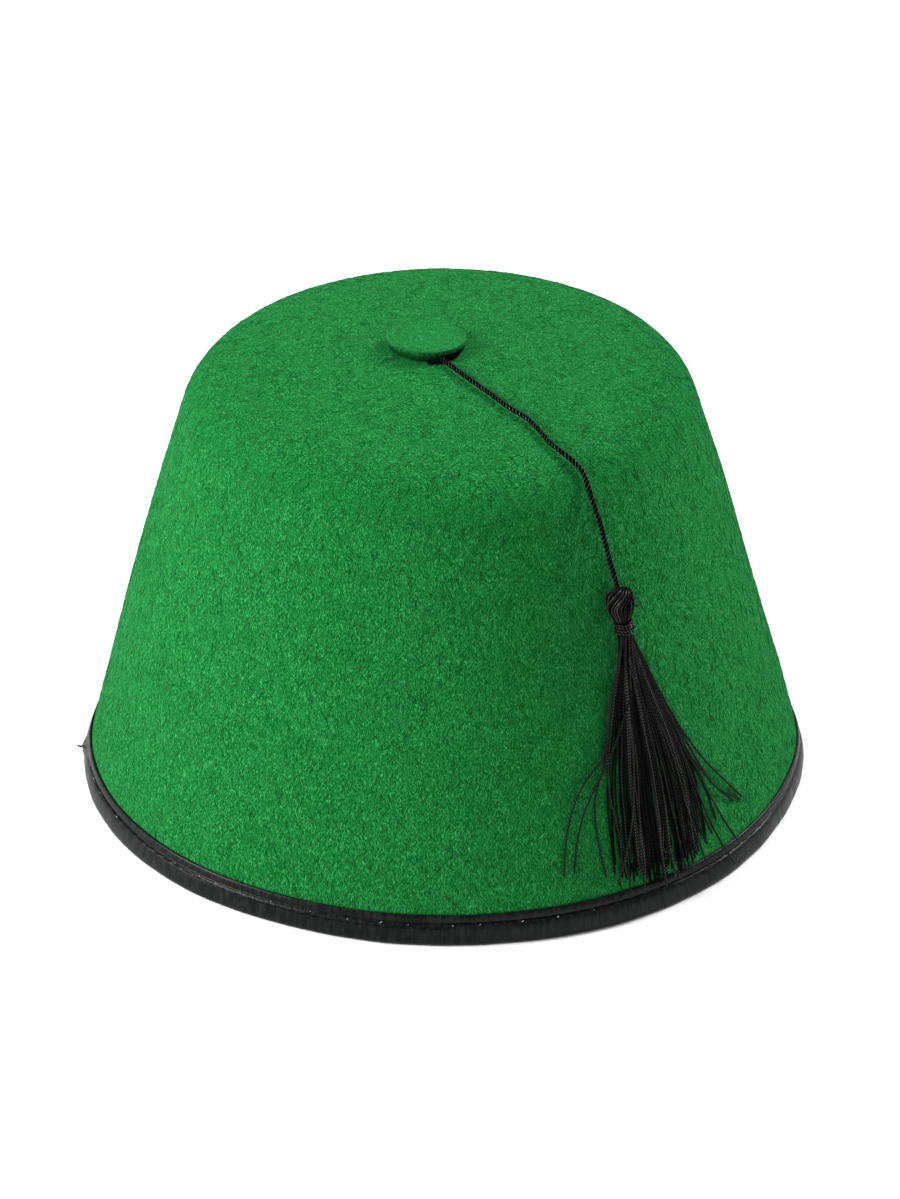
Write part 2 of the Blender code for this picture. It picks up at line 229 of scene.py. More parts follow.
def repeated_piece(bm: Shape, name: str, count: int, finish: Finish) -> tuple[Piece, Array]:
    """Makes one piece that holds a small shape many times over, all in one place.

    Args:
        bm: The small shape, which is freed.
        name: The piece's name.
        count: How many copies the piece holds.
        finish: Its material.

    Returns:
        The object, and its corners as an array of copies, corners and axes, for the caller to lay out.
    """
    single = piece_from(bm, f"{name}_single", finish)
    copies = single.modifiers.new("copies", "ARRAY")
    copies.count = count
    copies.use_relative_offset = False
    copies.use_merge_vertices = False
    graph = bpy.context.evaluated_depsgraph_get()
    mesh = bpy.data.meshes.new_from_object(single.evaluated_get(graph))
    bpy.data.objects.remove(single)
    mesh.name = name
    piece = bpy.data.objects.new(name, mesh)
    bpy.context.scene.collection.objects.link(piece)
    corners = np.zeros(len(mesh.vertices) * 3, np.float32)
    mesh.vertices.foreach_get("co", corners)
    return piece, corners.reshape(count, -1, 3).astype(float)


def lay_out(piece: Piece, corners: Array) -> None:
    """Moves a piece's corners to their places."""
    piece.data.vertices.foreach_set("co", corners.astype(np.float32).ravel())
    piece.data.update()


def write_attribute(piece: Piece, name: str, values: Array) -> None:
    """Stores a number or a vector at each corner of a piece, for its material to read.

    Args:
        piece: The piece.
        name: The attribute's name.
        values: One number or one vector for each corner.
    """
    if values.shape[-1] == 3 and values.ndim > 1:
        kept = piece.data.attributes.new(name, "FLOAT_VECTOR", "POINT")
        kept.data.foreach_set("vector", values.astype(np.float32).ravel())
    else:
        kept = piece.data.attributes.new(name, "FLOAT", "POINT")
        kept.data.foreach_set("value", values.astype(np.float32).ravel())


def write_shades(piece: Piece, shades: Array) -> None:
    """Stores a fibre's shade at each of its corners."""
    write_attribute(piece, FIBRE_SHADE, np.repeat(shades, len(piece.data.vertices) // len(shades)))


def dress(piece: Piece, slot: Slot, *nodes: str) -> Piece:
    """Makes a piece ride with the hat, hides the solids that it replaces, and logs it.

    Args:
        piece: The piece.
        slot: Its material slot; not used.
        *nodes: The solids that it replaces.

    Returns:
        The piece.
    """
    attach(piece, BODY)
    if nodes:
        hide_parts(*nodes)
    log.info("%s: %d faces", piece.name, len(piece.data.polygons))
    return piece


@dataclass(frozen=True)
class SoftPlace:
    """A place where handling pushed the soft felt out, or in where the push is negative."""

    azimuth: float
    height: float
    half_width: float
    half_height: float
    push: float


# Azimuth in degrees, height, half width in degrees, half height and push of each place
SOFT_PLACES = (
    SoftPlace(-92, 0.068, 55, 0.060, 0.0010),
    SoftPlace(88, 0.112, 48, 0.030, -0.0011),
    SoftPlace(92, 0.014, 45, 0.040, 0.0006),
    SoftPlace(-6, 0.000, 80, 0.048, -0.0027),
    SoftPlace(114, 0.000, 29, 0.028, -0.0022),
    SoftPlace(-114, 0.000, 25, 0.027, -0.0022),
    SoftPlace(180, 0.118, 80, 0.030, -0.0007),
    SoftPlace(-180, 0.118, 80, 0.030, -0.0007),
    SoftPlace(70, 0.000, 24, 0.020, -0.0009),
    SoftPlace(-26, 0.000, 18, 0.016, -0.0005),
    SoftPlace(25, 0.000, 18, 0.016, 0.0004),
)


@dataclass(frozen=True)
class CrownForm:
    """Outer form of the felt: a straight side, a round shoulder and a slightly domed top."""

    rim_radius: float = 0.1000
    top_radius: float = 0.0667
    height: float = 0.1230
    shoulder_radius: float = 0.0183
    top_rise: float = 0.0045
    felt: float = 0.0020
    clearance: float = 0.0003
    lump: float = 0.00006
    lump_size: float = 0.017
    pill: float = 0.000022
    pill_size: float = 0.0032

    @property
    def slope(self) -> float:
        """Angle between the side and the upright."""
        return math.atan2(self.rim_radius - self.top_radius, self.height)

    @property
    def shoulder_centre(self) -> tuple[float, float]:
        """Radius and height of the middle of the shoulder's arc."""
        back = self.shoulder_radius * math.tan((math.pi / 2 - self.slope) / 2)
        return self.top_radius - back, self.height - self.shoulder_radius

    @property
    def dome_radius(self) -> float:
        """Radius of the top's arc."""
        radius, height = self.shoulder_centre
        reach = self.height + self.top_rise - height
        return (radius**2 + reach**2 - self.shoulder_radius**2) / (2 * self.top_rise)

    @property
    def join(self) -> float:
        """Angle from the axis at which the top's arc runs into the shoulder's."""
        return math.asin(self.shoulder_centre[0] / (self.dome_radius - self.shoulder_radius))

    @property
    def run(self) -> float:
        """Length of the outline from the middle of the top to the foot of the side."""
        return self.side_start + self.shoulder_end[1] / math.cos(self.slope)

    @property
    def side_start(self) -> float:
        """Length of the outline from the middle of the top to the side."""
        turn = math.pi / 2 - self.slope - self.join
        return self.dome_radius * self.join + self.shoulder_radius * turn

    @property
    def shoulder_end(self) -> tuple[float, float]:
        """Radius and height at which the shoulder runs into the side."""
        radius, height = self.shoulder_centre
        out = self.shoulder_radius * math.cos(self.slope)
        up = self.shoulder_radius * math.sin(self.slope)
        return radius + out, height + up

    def side_radius(self, height: Array) -> Array:
        """Radius of the straight side line at a height."""
        return self.rim_radius - height * math.tan(self.slope)

    def top_height(self, radius: Array) -> Array:
        """Height of the top at a distance from the axis."""
        return self.height + self.top_rise - self.dome_radius + np.sqrt(self.dome_radius**2 - radius**2)

    def outline(self, run: Array, inset: float = 0.0) -> tuple[Array, Array, Array]:
        """Points of the outline.

        Args:
            run: Lengths along the outer outline, from the middle of the top.
            inset: Depth under the outer face.

        Returns:
            Radius, height, and the outward direction's angle from straight up.
        """
        dome = self.dome_radius
        first = dome * self.join
        centre = self.shoulder_centre
        over_top = np.clip(run / dome, 0.0, self.join)
        over_shoulder = self.join + (run - first) / self.shoulder_radius
        turned = np.where(run < first, over_top, np.clip(over_shoulder, self.join, math.pi / 2 - self.slope))
        on_top = run < first
        arc = np.where(on_top, dome, self.shoulder_radius)
        radius = np.where(on_top, 0.0, centre[0]) + (arc - inset) * np.sin(turned)
        middle = np.where(on_top, self.height + self.top_rise - dome, centre[1])
        height = middle + (arc - inset) * np.cos(turned)
        past = np.maximum(run - self.side_start, 0.0)
        return radius + past * math.sin(self.slope), height - past * math.cos(self.slope), turned

    def sway(self, azimuth: Array, height: Array) -> Array:
        """How far the form stands out from its even round at azimuths and heights.

        Args:
            azimuth: Azimuths, in radians.
            height: Heights.

        Returns:
            The distances.
        """
        out = 0.0 * (azimuth + height)
        for place in SOFT_PLACES:
            aside = np.clip((np.degrees(azimuth) - place.azimuth) / place.half_width, -1.0, 1.0)
            above = np.clip((height - place.height) / place.half_height, -1.0, 1.0)
            out = out + place.push * np.cos(aside * math.pi / 2) ** 2 * np.cos(above * math.pi / 2) ** 2
        return out

    def hugged(self, azimuth: Array, first: float = 91) -> Array:
        """Where strip and felt lie close, behind the widest places: 1 there and 0 in front."""
        degrees = np.degrees(np.abs(azimuth))
        return ease((degrees - first) / 6) * ease((135 - degrees) / 20)

    def relief(self, points: Array) -> Array:
        """How far the soft felt stands out at each point."""
        lumps = unevenness(points, self.lump_size) * self.lump
        return lumps + unevenness(points, self.pill_size, 4.0) * self.pill

    def on_side(self, azimuth: Array, height: Array, standoff: Array) -> Array:
        """Points that stand off the straight side.

        Args:
            azimuth: Azimuths, in radians.
            height: Heights of the points on the side line.
            standoff: Distances from the side, square to it.

        Returns:
            The points, with the axes last.
        """
        out = self.side_out(azimuth)
        radius = self.side_radius(height) + self.sway(azimuth, height)
        return around(azimuth, radius, height) + out * np.asarray(standoff)[..., None]

    def side_out(self, azimuth: Array) -> Array:
        """Unit vectors out of the side at azimuths."""
        return around(azimuth, math.cos(self.slope), math.sin(self.slope))


CROWN = CrownForm()


class Wiring:
    """A node tree that is being wired, with short ways to add nodes."""

    def __init__(self, tree: Tree) -> None:
        """Starts with an empty tree."""
        self.tree = tree
        tree.nodes.clear()

    def node(self, kind: str, **settings: object) -> Node:
        """Adds a node and sets its own settings.

        Args:
            kind: The node's Blender type.
            **settings: The node's settings by name.

        Returns:
            The node.
        """
        made = self.tree.nodes.new(kind)
        for name, value in settings.items():
            setattr(made, name, value)
        return made

    def feed(self, socket: Socket, value: object) -> None:
        """Links an output to an input, or sets the input's own value.

        Args:
            socket: The input.
            value: An output or a value.
        """
        if isinstance(value, Socket):
            self.tree.links.new(value, socket)
        else:
            socket.default_value = value

    def math(self, operation: str, *values: object) -> Socket:
        """Result of a Math node.

        Args:
            operation: The node's operation.
            *values: Outputs or numbers for its inputs.

        Returns:
            The output.
        """
        made = self.node("ShaderNodeMath", operation=operation)
        for socket, value in zip(made.inputs, values):
            self.feed(socket, value)
        return made.outputs[0]

    def vector(self, operation: str, *values: object) -> Socket:
        """Result of a Vector Math node.

        Args:
            operation: The node's operation.
            *values: Outputs or vectors for its inputs.

        Returns:
            The output.
        """
        made = self.node("ShaderNodeVectorMath", operation=operation)
        for socket, value in zip(made.inputs, values):
            self.feed(socket, value)
        return made.outputs[0]

    def scaled(self, vector: object, factor: object) -> Socket:
        """A vector times a number.

        Args:
            vector: The vector.
            factor: The number.

        Returns:
            The output.
        """
        made = self.node("ShaderNodeVectorMath", operation="SCALE")
        self.feed(made.inputs[0], vector)
        self.feed(made.inputs["Scale"], factor)
        return made.outputs[0]

    def noise(self, vector: object, scale: object, detail: float) -> Node:
        """A Noise Texture node at a vector.

        Args:
            vector: Where the noise is read.
            scale: The noise's scale.
            detail: Its detail.

        Returns:
            The node.
        """
        made = self.node("ShaderNodeTexNoise")
        self.feed(made.inputs["Vector"], vector)
        self.feed(made.inputs["Scale"], scale)
        self.feed(made.inputs["Detail"], detail)
        return made

    def ramp(
        self, value: object, low: object, high: object, to_low: object = 0.0, to_high: object = 1.0
    ) -> Socket:
        """A value moved from one range to another, and held inside it.

        Args:
            value: The value.
            low: Start of its own range.
            high: End of its own range.
            to_low: Start of the new range.
            to_high: End of the new range.

        Returns:
            The output.
        """
        made = self.node("ShaderNodeMapRange")
        for socket, given in zip(made.inputs, (value, low, high, to_low, to_high)):
            self.feed(socket, given)
        return made.outputs[0]

    def mix(self, factor: object, first: object, second: object) -> Socket:
        """A mix of two colours.

        Args:
            factor: Share of the second.
            first: A colour.
            second: A colour.

        Returns:
            The output.
        """
        made = self.node("ShaderNodeMix", data_type="RGBA")
        self.feed(made.inputs["Factor"], factor)
        self.feed(made.inputs["A"], first)
        self.feed(made.inputs["B"], second)
        return next(socket for socket in made.outputs if socket.type == "RGBA")

    def blend(self, factor: object, first: object, second: object) -> Socket:
        """A mix of two numbers.

        Args:
            factor: Share of the second.
            first: A number.
            second: A number.

        Returns:
            The output.
        """
        made = self.node("ShaderNodeMix", data_type="FLOAT")
        self.feed(made.inputs["Factor"], factor)
        self.feed(made.inputs["A"], first)
        self.feed(made.inputs["B"], second)
        return made.outputs[0]

    def line(self, vector: object, fineness: object) -> Socket:
        """Thin curling lines, 1 along their middle and 0 beside them.

        Args:
            vector: Where the lines are read.
            fineness: How thin they are.

        Returns:
            The output.
        """
        level = self.noise(vector, 1.0, 0.0).outputs["Fac"]
        away = self.math("ABSOLUTE", self.math("SUBTRACT", level, 0.5))
        rise = self.math("SUBTRACT", 1.0, self.math("MULTIPLY", away, self.math("MULTIPLY", fineness, 2.0)))
        return self.math("MAXIMUM", rise, 0.0)

    def bump(self, height: object, distance: float, strength: float) -> Socket:
        """Normals bumped by a height.

        Args:
            height: The height.
            distance: Depth of the bumps, in metres.
            strength: Their strength.

        Returns:
            The output.
        """
        made = self.node("ShaderNodeBump")
        self.feed(made.inputs["Height"], height)
        self.feed(made.inputs["Distance"], distance)
        self.feed(made.inputs["Strength"], strength)
        return made.outputs[0]

    def group(self, tree: Tree, **values: object) -> Node:
        """Places a node group, with its inputs given by name and underscores for spaces.

        Args:
            tree: The group's tree.
            **values: Values for its inputs.

        Returns:
            The group's node.
        """
        made = self.node("ShaderNodeGroup")
        made.node_tree = tree
        for name, value in values.items():
            self.feed(made.inputs[name.replace("_", " ")], value)
        return made


def new_group(
    name: str, inputs: dict[str, tuple[str, object]], outputs: dict[str, str]
) -> tuple[Wiring, Node, Node]:
    """Starts a node group with named sockets.

    Args:
        name: The group's name.
        inputs: For each input's name, its kind and its usual value.
        outputs: For each output's name, its kind.

    Returns:
        The wiring, the group's input node and its output node.
    """
    tree = bpy.data.node_groups.new(name, "ShaderNodeTree")
    for label, (kind, usual) in inputs.items():
        socket = tree.interface.new_socket(label, in_out="INPUT", socket_type=kind)
        if usual is not None:
            socket.default_value = usual
    for label, kind in outputs.items():
        tree.interface.new_socket(label, in_out="OUTPUT", socket_type=kind)
    wiring = Wiring(tree)
    return wiring, wiring.node("NodeGroupInput"), wiring.node("NodeGroupOutput")


NUMBER = "NodeSocketFloat"
VECTOR = "NodeSocketVector"


def felt_group() -> Tree:
    """Felted fibres as thin pale lines: crossing strokes down a side wall, and curls on a flat top.

    Returns:
        The group's tree.
    """
    wires, given, result = new_group(
        "felt_fibres",
        {
            "Vector": (VECTOR, None),
            "Side": (NUMBER, 1.0),
            "Stroke Width": (NUMBER, 0.00055),
            "Stroke Length": (NUMBER, 0.0026),
            "Curl Size": (NUMBER, 0.0011),
            "Tilt": (NUMBER, 4.6),
            "Fineness": (NUMBER, 9.0),
            "Drift": (NUMBER, 0.0004),
            "Grain": (NUMBER, 3800.0),
        },
        {"Height": NUMBER, "Shade": NUMBER},
    )
    place = given.outputs["Vector"]
    drift = wires.vector("SUBTRACT", wires.noise(place, 420.0, 1.0).outputs["Color"], (0.5, 0.5, 0.5))
    curled = wires.vector("ADD", place, wires.scaled(drift, given.outputs["Drift"]))
    parts = wires.node("ShaderNodeSeparateXYZ")
    wires.feed(parts.inputs[0], curled)
    across = wires.math("DIVIDE", 1.0, given.outputs["Stroke Width"])
    down = wires.math("DIVIDE", 1.0, given.outputs["Stroke Length"])
    stretch = wires.node("ShaderNodeCombineXYZ")
    for socket, value in zip(stretch.inputs, (across, across, down)):
        wires.feed(socket, value)
    strokes = []
    for lean, shift in ((1.0, 3.0), (-1.0, 17.0), (0.15, 41.0)):
        tilt = wires.math("MULTIPLY", given.outputs["Tilt"], lean)
        turn = wires.math("MULTIPLY", parts.outputs["Z"], tilt)
        leaning = wires.node("ShaderNodeVectorRotate", rotation_type="Z_AXIS")
        wires.feed(leaning.inputs["Vector"], curled)
        wires.feed(leaning.inputs["Angle"], turn)
        stretched = wires.vector("MULTIPLY", leaning.outputs[0], stretch.outputs[0])
        shifted = wires.vector("ADD", stretched, (shift, shift, shift))
        strokes.append(wires.line(shifted, given.outputs["Fineness"]))
    side = wires.math("MAXIMUM", wires.math("MAXIMUM", strokes[0], strokes[1]), strokes[2])
    size = wires.math("DIVIDE", 1.0, given.outputs["Curl Size"])
    curls = []
    for shift in (5.0, 29.0, 53.0):
        scaled = wires.vector("ADD", wires.scaled(curled, size), (shift, shift, shift))
        curls.append(wires.line(scaled, given.outputs["Fineness"]))
    top = wires.math("MAXIMUM", wires.math("MAXIMUM", curls[0], curls[1]), curls[2])
    lines = wires.blend(given.outputs["Side"], top, side)
    upright = wires.vector("MULTIPLY", curled, (1.0, 1.0, 0.25))
    grain = wires.noise(upright, given.outputs["Grain"], 1.0).outputs["Fac"]
    height = wires.math("ADD", wires.math("MULTIPLY", lines, 0.56), wires.math("SUBTRACT", grain, 0.16))
    wires.feed(result.inputs["Height"], height)
    wires.feed(result.inputs["Shade"], wires.ramp(height, 0.16, 1.02))
    return wires.tree


def crease_group() -> Tree:
    """Fine upright creases and pores of a thin coated leather that was folded round a rim.

    Returns:
        The group's tree.
    """
    wires, given, result = new_group(
        "leather_creases",
        {"Vector": (VECTOR, None), "Crease Width": (NUMBER, 0.0009), "Pore": (NUMBER, 0.0004)},
        {"Height": NUMBER, "Wear": NUMBER},
    )
    across = wires.math("DIVIDE", 1.0, given.outputs["Crease Width"])
    stretch = wires.node("ShaderNodeCombineXYZ")
    for socket, value in zip(stretch.inputs, (across, across, wires.math("MULTIPLY", across, 0.16))):
        wires.feed(socket, value)
    creases = wires.noise(wires.vector("MULTIPLY", given.outputs["Vector"], stretch.outputs[0]), 1.0, 3.0)
    pores = wires.node("ShaderNodeTexVoronoi")
    wires.feed(pores.inputs["Vector"], given.outputs["Vector"])
    wires.feed(pores.inputs["Scale"], wires.math("DIVIDE", 1.0, given.outputs["Pore"]))
    grain = wires.math("MULTIPLY", pores.outputs["Distance"], 0.25)
    wires.feed(result.inputs["Height"], wires.math("ADD", creases.outputs["Fac"], grain))
    wires.feed(result.inputs["Wear"], wires.ramp(creases.outputs["Fac"], 0.42, 0.68))
    return wires.tree


def twist_group() -> Tree:
    """Turns of a twisted thread, from a vector of cosine and sine round it and metres along it: a height for
    the bumps, and a mask of the plies' crests, where glints are painted.

    Returns:
        The group's tree.
    """
    wires, given, result = new_group(
        "thread_twist",
        {
            "Vector": (VECTOR, None),
            "Pitch": (NUMBER, 0.0016),
            "Plies": (NUMBER, 2.0),
            "Yarns": (NUMBER, 9.0),
        },
        {"Height": NUMBER, "Painted Glint Crest": NUMBER},
    )
    parts = wires.node("ShaderNodeSeparateXYZ")
    wires.feed(parts.inputs[0], given.outputs["Vector"])
    round_it = wires.math("ARCTAN2", parts.outputs["Y"], parts.outputs["X"])
    turns = wires.math("DIVIDE", parts.outputs["Z"], given.outputs["Pitch"])
    phase = wires.math("SUBTRACT", round_it, wires.math("MULTIPLY", turns, math.tau))
    plies = wires.math("COSINE", wires.math("MULTIPLY", phase, given.outputs["Plies"]))
    yarns = wires.math("COSINE", wires.math("MULTIPLY", phase, given.outputs["Yarns"]))
    height = wires.math("ADD", wires.math("MULTIPLY", plies, 0.4), wires.math("MULTIPLY", yarns, 0.12))
    wires.feed(result.inputs["Height"], height)
    wires.feed(result.inputs["Painted Glint Crest"], wires.ramp(plies, 0.1, 0.95))
    return wires.tree


class Shared:
    """The node groups that several finishes use, each built once."""

    def __init__(self) -> None:
        """Builds the groups."""
        self.felt = felt_group()
        self.creases = crease_group()
        self.twist = twist_group()


def new_material(name: str) -> tuple[Finish, Wiring, Node]:
    """Starts a material with a Principled shader.

    Args:
        name: The material's name.

    Returns:
        The material, its wiring and its shader.
    """
    made = bpy.data.materials.new(name)
    made.use_nodes = True
    wires = Wiring(made.node_tree)
    shader = wires.node("ShaderNodeBsdfPrincipled")
    output = wires.node("ShaderNodeOutputMaterial")
    wires.feed(output.inputs["Surface"], shader.outputs[0])
    return made, wires, shader


@dataclass(frozen=True)
class FeltFinish:
    """Dyed wool-like felt: matt, with pale fibres over a darker ground, and painted shade where an attribute
    asks for it.
    """

    name: str = "green_felt"
    deep: tuple[float, float, float] = (0.0002, 0.046, 0.0050)
    light: tuple[float, float, float] = (0.0150, 0.290, 0.0570)
    pale: tuple[float, float, float] = (0.1450, 0.430, 0.1950)
    paleness: float = 0.30
    blotch: float = 0.015
    blotch_size: float = 0.016
    stroke_width: float = 0.00036
    stroke_length: float = 0.0044
    curl_size: float = 0.00072
    roughness: float = 1.0
    sheen: float = 0.02
    sheen_tint: tuple[float, float, float] = (0.40, 0.95, 0.50)
    bump_depth: float = 0.00035
    bump_strength: float = 0.75
    # Attribute that mixes in painted shade, and the painted shade's colour; no painted shade when the
    # attribute is empty
    painted_shade_attribute: str = ""
    painted_shade_colour: tuple[float, float, float] = (0.0020, 0.050, 0.0100)

    def material(self, shared: Shared) -> Finish:
        """The felt's material.

        Args:
            shared: The shared node groups.

        Returns:
            The material.
        """
        made, wires, shader = new_material(self.name)
        place = wires.node("ShaderNodeTexCoord").outputs["Object"]
        facing = wires.node("ShaderNodeSeparateXYZ")
        wires.feed(facing.inputs[0], wires.node("ShaderNodeTexCoord").outputs["Normal"])
        side = wires.ramp(wires.math("ABSOLUTE", facing.outputs["Z"]), 0.85, 0.45)
        fibres = wires.group(
            shared.felt,
            Vector=place,
            Side=side,
            Stroke_Width=self.stroke_width,
            Stroke_Length=self.stroke_length,
            Curl_Size=self.curl_size,
        )
        blotches = wires.noise(place, 1.0 / self.blotch_size, 2.0).outputs["Fac"]
        patch = wires.ramp(blotches, 0.3, 0.7, -self.blotch, self.blotch)
        shade = wires.math("ADD", fibres.outputs["Shade"], patch)
        colour = wires.mix(wires.ramp(shade, 0.0, 1.0), (*self.deep, 1.0), (*self.light, 1.0))
        crest = wires.ramp(fibres.outputs["Shade"], 0.60, 1.0, 0.0, self.paleness)
        colour = wires.mix(crest, colour, (*self.pale, 1.0))
        # Painted shade, mixed in as far as the attribute says
        if self.painted_shade_attribute:
            painted_shade_colour = wires.node("ShaderNodeAttribute", attribute_name=self.painted_shade_attribute)
            colour = wires.mix(painted_shade_colour.outputs["Fac"], colour, (*self.painted_shade_colour, 1.0))
        wires.feed(shader.inputs["Base Color"], colour)
        shader.inputs["Roughness"].default_value = self.roughness
        shader.inputs["Specular IOR Level"].default_value = 0.02
        shader.inputs["Sheen Weight"].default_value = self.sheen
        shader.inputs["Sheen Roughness"].default_value = 0.45
        shader.inputs["Sheen Tint"].default_value = (*self.sheen_tint, 1.0)
        bumped = wires.bump(fibres.outputs["Height"], self.bump_depth, self.bump_strength)
        wires.feed(shader.inputs["Normal"], bumped)
        return made


@dataclass(frozen=True)
class FibreFinish:
    """Loose fibres on the felt, each of its own shade."""

    name: str = "felt_fibre"
    deep: tuple[float, float, float] = (0.001, 0.070, 0.010)
    light: tuple[float, float, float] = (0.038, 0.318, 0.092)

    def material(self) -> Finish:
        """The fibres' material.

        Returns:
            The material.
        """
        made, wires, shader = new_material(self.name)
        shade = wires.node("ShaderNodeAttribute", attribute_name=FIBRE_SHADE)
        colour = wires.mix(shade.outputs["Fac"], (*self.deep, 1.0), (*self.light, 1.0))
        wires.feed(shader.inputs["Base Color"], colour)
        shader.inputs["Roughness"].default_value = 0.9
        shader.inputs["Specular IOR Level"].default_value = 0.03
        return made


@dataclass(frozen=True)
class LeatherFinish:
    """Thin black imitation leather, satin, worn a little paler along its creases."""

    name: str = "black_imitation_leather"
    deep: tuple[float, float, float] = (0.0008, 0.0016, 0.0018)
    worn: tuple[float, float, float] = (0.0096, 0.0108, 0.0104)
    smooth: float = 0.32
    rough: float = 0.50
    gloss: float = 0.125
    bump_depth: float = 0.00022
    bump_strength: float = 0.42

    def material(self, shared: Shared) -> Finish:
        """The strip's material.

        Args:
            shared: The shared node groups.

        Returns:
            The material.
        """
        made, wires, shader = new_material(self.name)
        place = wires.node("ShaderNodeTexCoord").outputs["Object"]
        creases = wires.group(shared.creases, Vector=place)
        wear = creases.outputs["Wear"]
        wires.feed(shader.inputs["Base Color"], wires.mix(wear, (*self.deep, 1.0), (*self.worn, 1.0)))
        wires.feed(shader.inputs["Roughness"], wires.ramp(wear, 0.0, 1.0, self.smooth, self.rough))
        shader.inputs["Specular IOR Level"].default_value = self.gloss
        bumped = wires.bump(creases.outputs["Height"], self.bump_depth, self.bump_strength)
        wires.feed(shader.inputs["Normal"], bumped)
        return made


@dataclass(frozen=True)
class ThreadFinish:
    """Black twisted thread, with glints painted in a paler colour on the outer crests of its turns, and a
    soft coat gloss there.
    """

    name: str
    deep: tuple[float, float, float] = (0.0006, 0.0006, 0.0007)
    # Colour of the painted glints on the turns' outer crests; deep is the thread's own black
    light: tuple[float, float, float] = (0.066, 0.060, 0.054)
    pitch: float = 0.0016
    plies: float = 2.0
    yarns: float = 9.0
    roughness: float = 0.36
    gloss: float = 0.045
    glint: float = 1.0
    # Where round the thread the painted glints begin, and how wide they fade in
    outer: float = -1.2
    crest: float = 0.22
    bump_depth: float = 0.00016

    def material(self, shared: Shared) -> Finish:
        """The thread's material.

        Args:
            shared: The shared node groups.

        Returns:
            The material.
        """
        made, wires, shader = new_material(self.name)
        way = wires.node("ShaderNodeAttribute", attribute_name=THREAD_WAY)
        tone = wires.node("ShaderNodeAttribute", attribute_name=PAINTED_GLINT)
        turns = wires.group(
            shared.twist, Vector=way.outputs["Vector"], Pitch=self.pitch, Plies=self.plies, Yarns=self.yarns
        )
        parts = wires.node("ShaderNodeSeparateXYZ")
        wires.feed(parts.inputs[0], way.outputs["Vector"])
        # Painted glints: the paler colour and the coat on the plies' outer crests, as strong as each
        # thread's painted glint strength
        proud = wires.ramp(parts.outputs["X"], self.outer, self.outer + self.crest)
        pale = wires.math("MULTIPLY", proud, tone.outputs["Fac"])
        shade = wires.math("MULTIPLY", turns.outputs["Painted Glint Crest"], pale)
        wires.feed(shader.inputs["Base Color"], wires.mix(shade, (*self.deep, 1.0), (*self.light, 1.0)))
        wires.feed(shader.inputs["Coat Weight"], wires.math("MULTIPLY", shade, self.glint))
        shader.inputs["Coat Roughness"].default_value = 0.22
        shader.inputs["Roughness"].default_value = self.roughness
        shader.inputs["Specular IOR Level"].default_value = self.gloss
        wires.feed(shader.inputs["Normal"], wires.bump(turns.outputs["Height"], self.bump_depth, 0.7))
        return made


@dataclass(frozen=True)
class PaleFinish:
    """A plain pale surface, with a trace of unevenness so that it isn't one flat colour."""

    name: str
    colour: tuple[float, float, float]
    roughness: float = 0.9

    def material(self) -> Finish:
        """The material.

        Returns:
            The material.
        """
        made, wires, shader = new_material(self.name)
        place = wires.node("ShaderNodeTexCoord").outputs["Object"]
        cloud = wires.noise(place, 30.0, 2.0).outputs["Fac"]
        darker = tuple(0.97 * value for value in self.colour)
        wires.feed(shader.inputs["Base Color"], wires.mix(cloud, (*self.colour, 1.0), (*darker, 1.0)))
        shader.inputs["Roughness"].default_value = self.roughness
        shader.inputs["Specular IOR Level"].default_value = 0.1
        return made


@dataclass
class Threads:
    """Threads as closed tubes whose section has the lobes of their twisted plies."""

    name: str
    radius: float
    pitch: float = 0.0016
    lobes: int = 2
    lobe_depth: float = 0.15
    sides: int = 6
    tip_taper: float = 0.6

    def build(self, paths: Array, out: Array, glint_strengths: Array, finish: Finish) -> Piece:
        """Builds all threads as one piece.

        Args:
            paths: Points of the threads' middle lines, as threads, points and axes.
            out: A direction at each point that isn't along the thread, of the same form.
            glint_strengths: How strongly each thread's painted glints show, from 0 to 1.
            finish: The material.

        Returns:
            The piece.
        """
        count, rings, _ = paths.shape
        bm = bmesh.new()
        bmesh.ops.create_circle(bm, cap_ends=False, segments=self.sides, radius=1.0)
        bmesh.ops.spin(
            bm,
            geom=bm.verts[:] + bm.edges[:],
            cent=(0, 0, 0),
            axis=(0, 0, 1),
            dvec=(0, 0, 1),
            angle=0.0,
            steps=rings - 1,
            use_merge=False,
        )
        bmesh.ops.holes_fill(bm, edges=[edge for edge in bm.edges if edge.is_boundary])
        bmesh.ops.recalc_face_normals(bm, faces=bm.faces[:])
        piece, corners = repeated_piece(bm, self.name, count, finish)
        ring = np.rint(corners[..., 2]).astype(int)
        number = np.arange(count)[:, None]
        along = lengths_along(paths)
        tangent = unit(np.gradient(paths, axis=1))
        normal = unit(out - tangent * np.sum(out * tangent, axis=-1, keepdims=True))
        beside = np.cross(tangent, normal)
        angle = np.arctan2(corners[..., 1], corners[..., 0])
        way = along[number, ring]
        offset = np.random.default_rng(len(self.name)).uniform(0.0, 3.0 * self.pitch, count)[:, None]
        turned = angle - math.tau * (way + offset) / self.pitch
        left = np.minimum(way, along[:, -1:] - way) / (2 * self.radius)
        taper = self.tip_taper + (1 - self.tip_taper) * np.clip(left, 0.0, 1.0)
        lobe = 1 - self.lobe_depth / 2 + self.lobe_depth * np.cos(self.lobes * turned)
        reach = self.radius * lobe * taper
        place = paths[number, ring]
        place = place + normal[number, ring] * (reach * np.cos(angle))[..., None]
        place = place + beside[number, ring] * (reach * np.sin(angle))[..., None]
        lay_out(piece, place)
        turns = np.stack([np.cos(angle), np.sin(angle), way + offset], axis=-1)
        write_attribute(piece, THREAD_WAY, turns.reshape(-1, 3))
        # How strongly each thread's painted glints show, at all its corners
        write_attribute(piece, PAINTED_GLINT, np.repeat(glint_strengths, corners.shape[1]))
        return piece


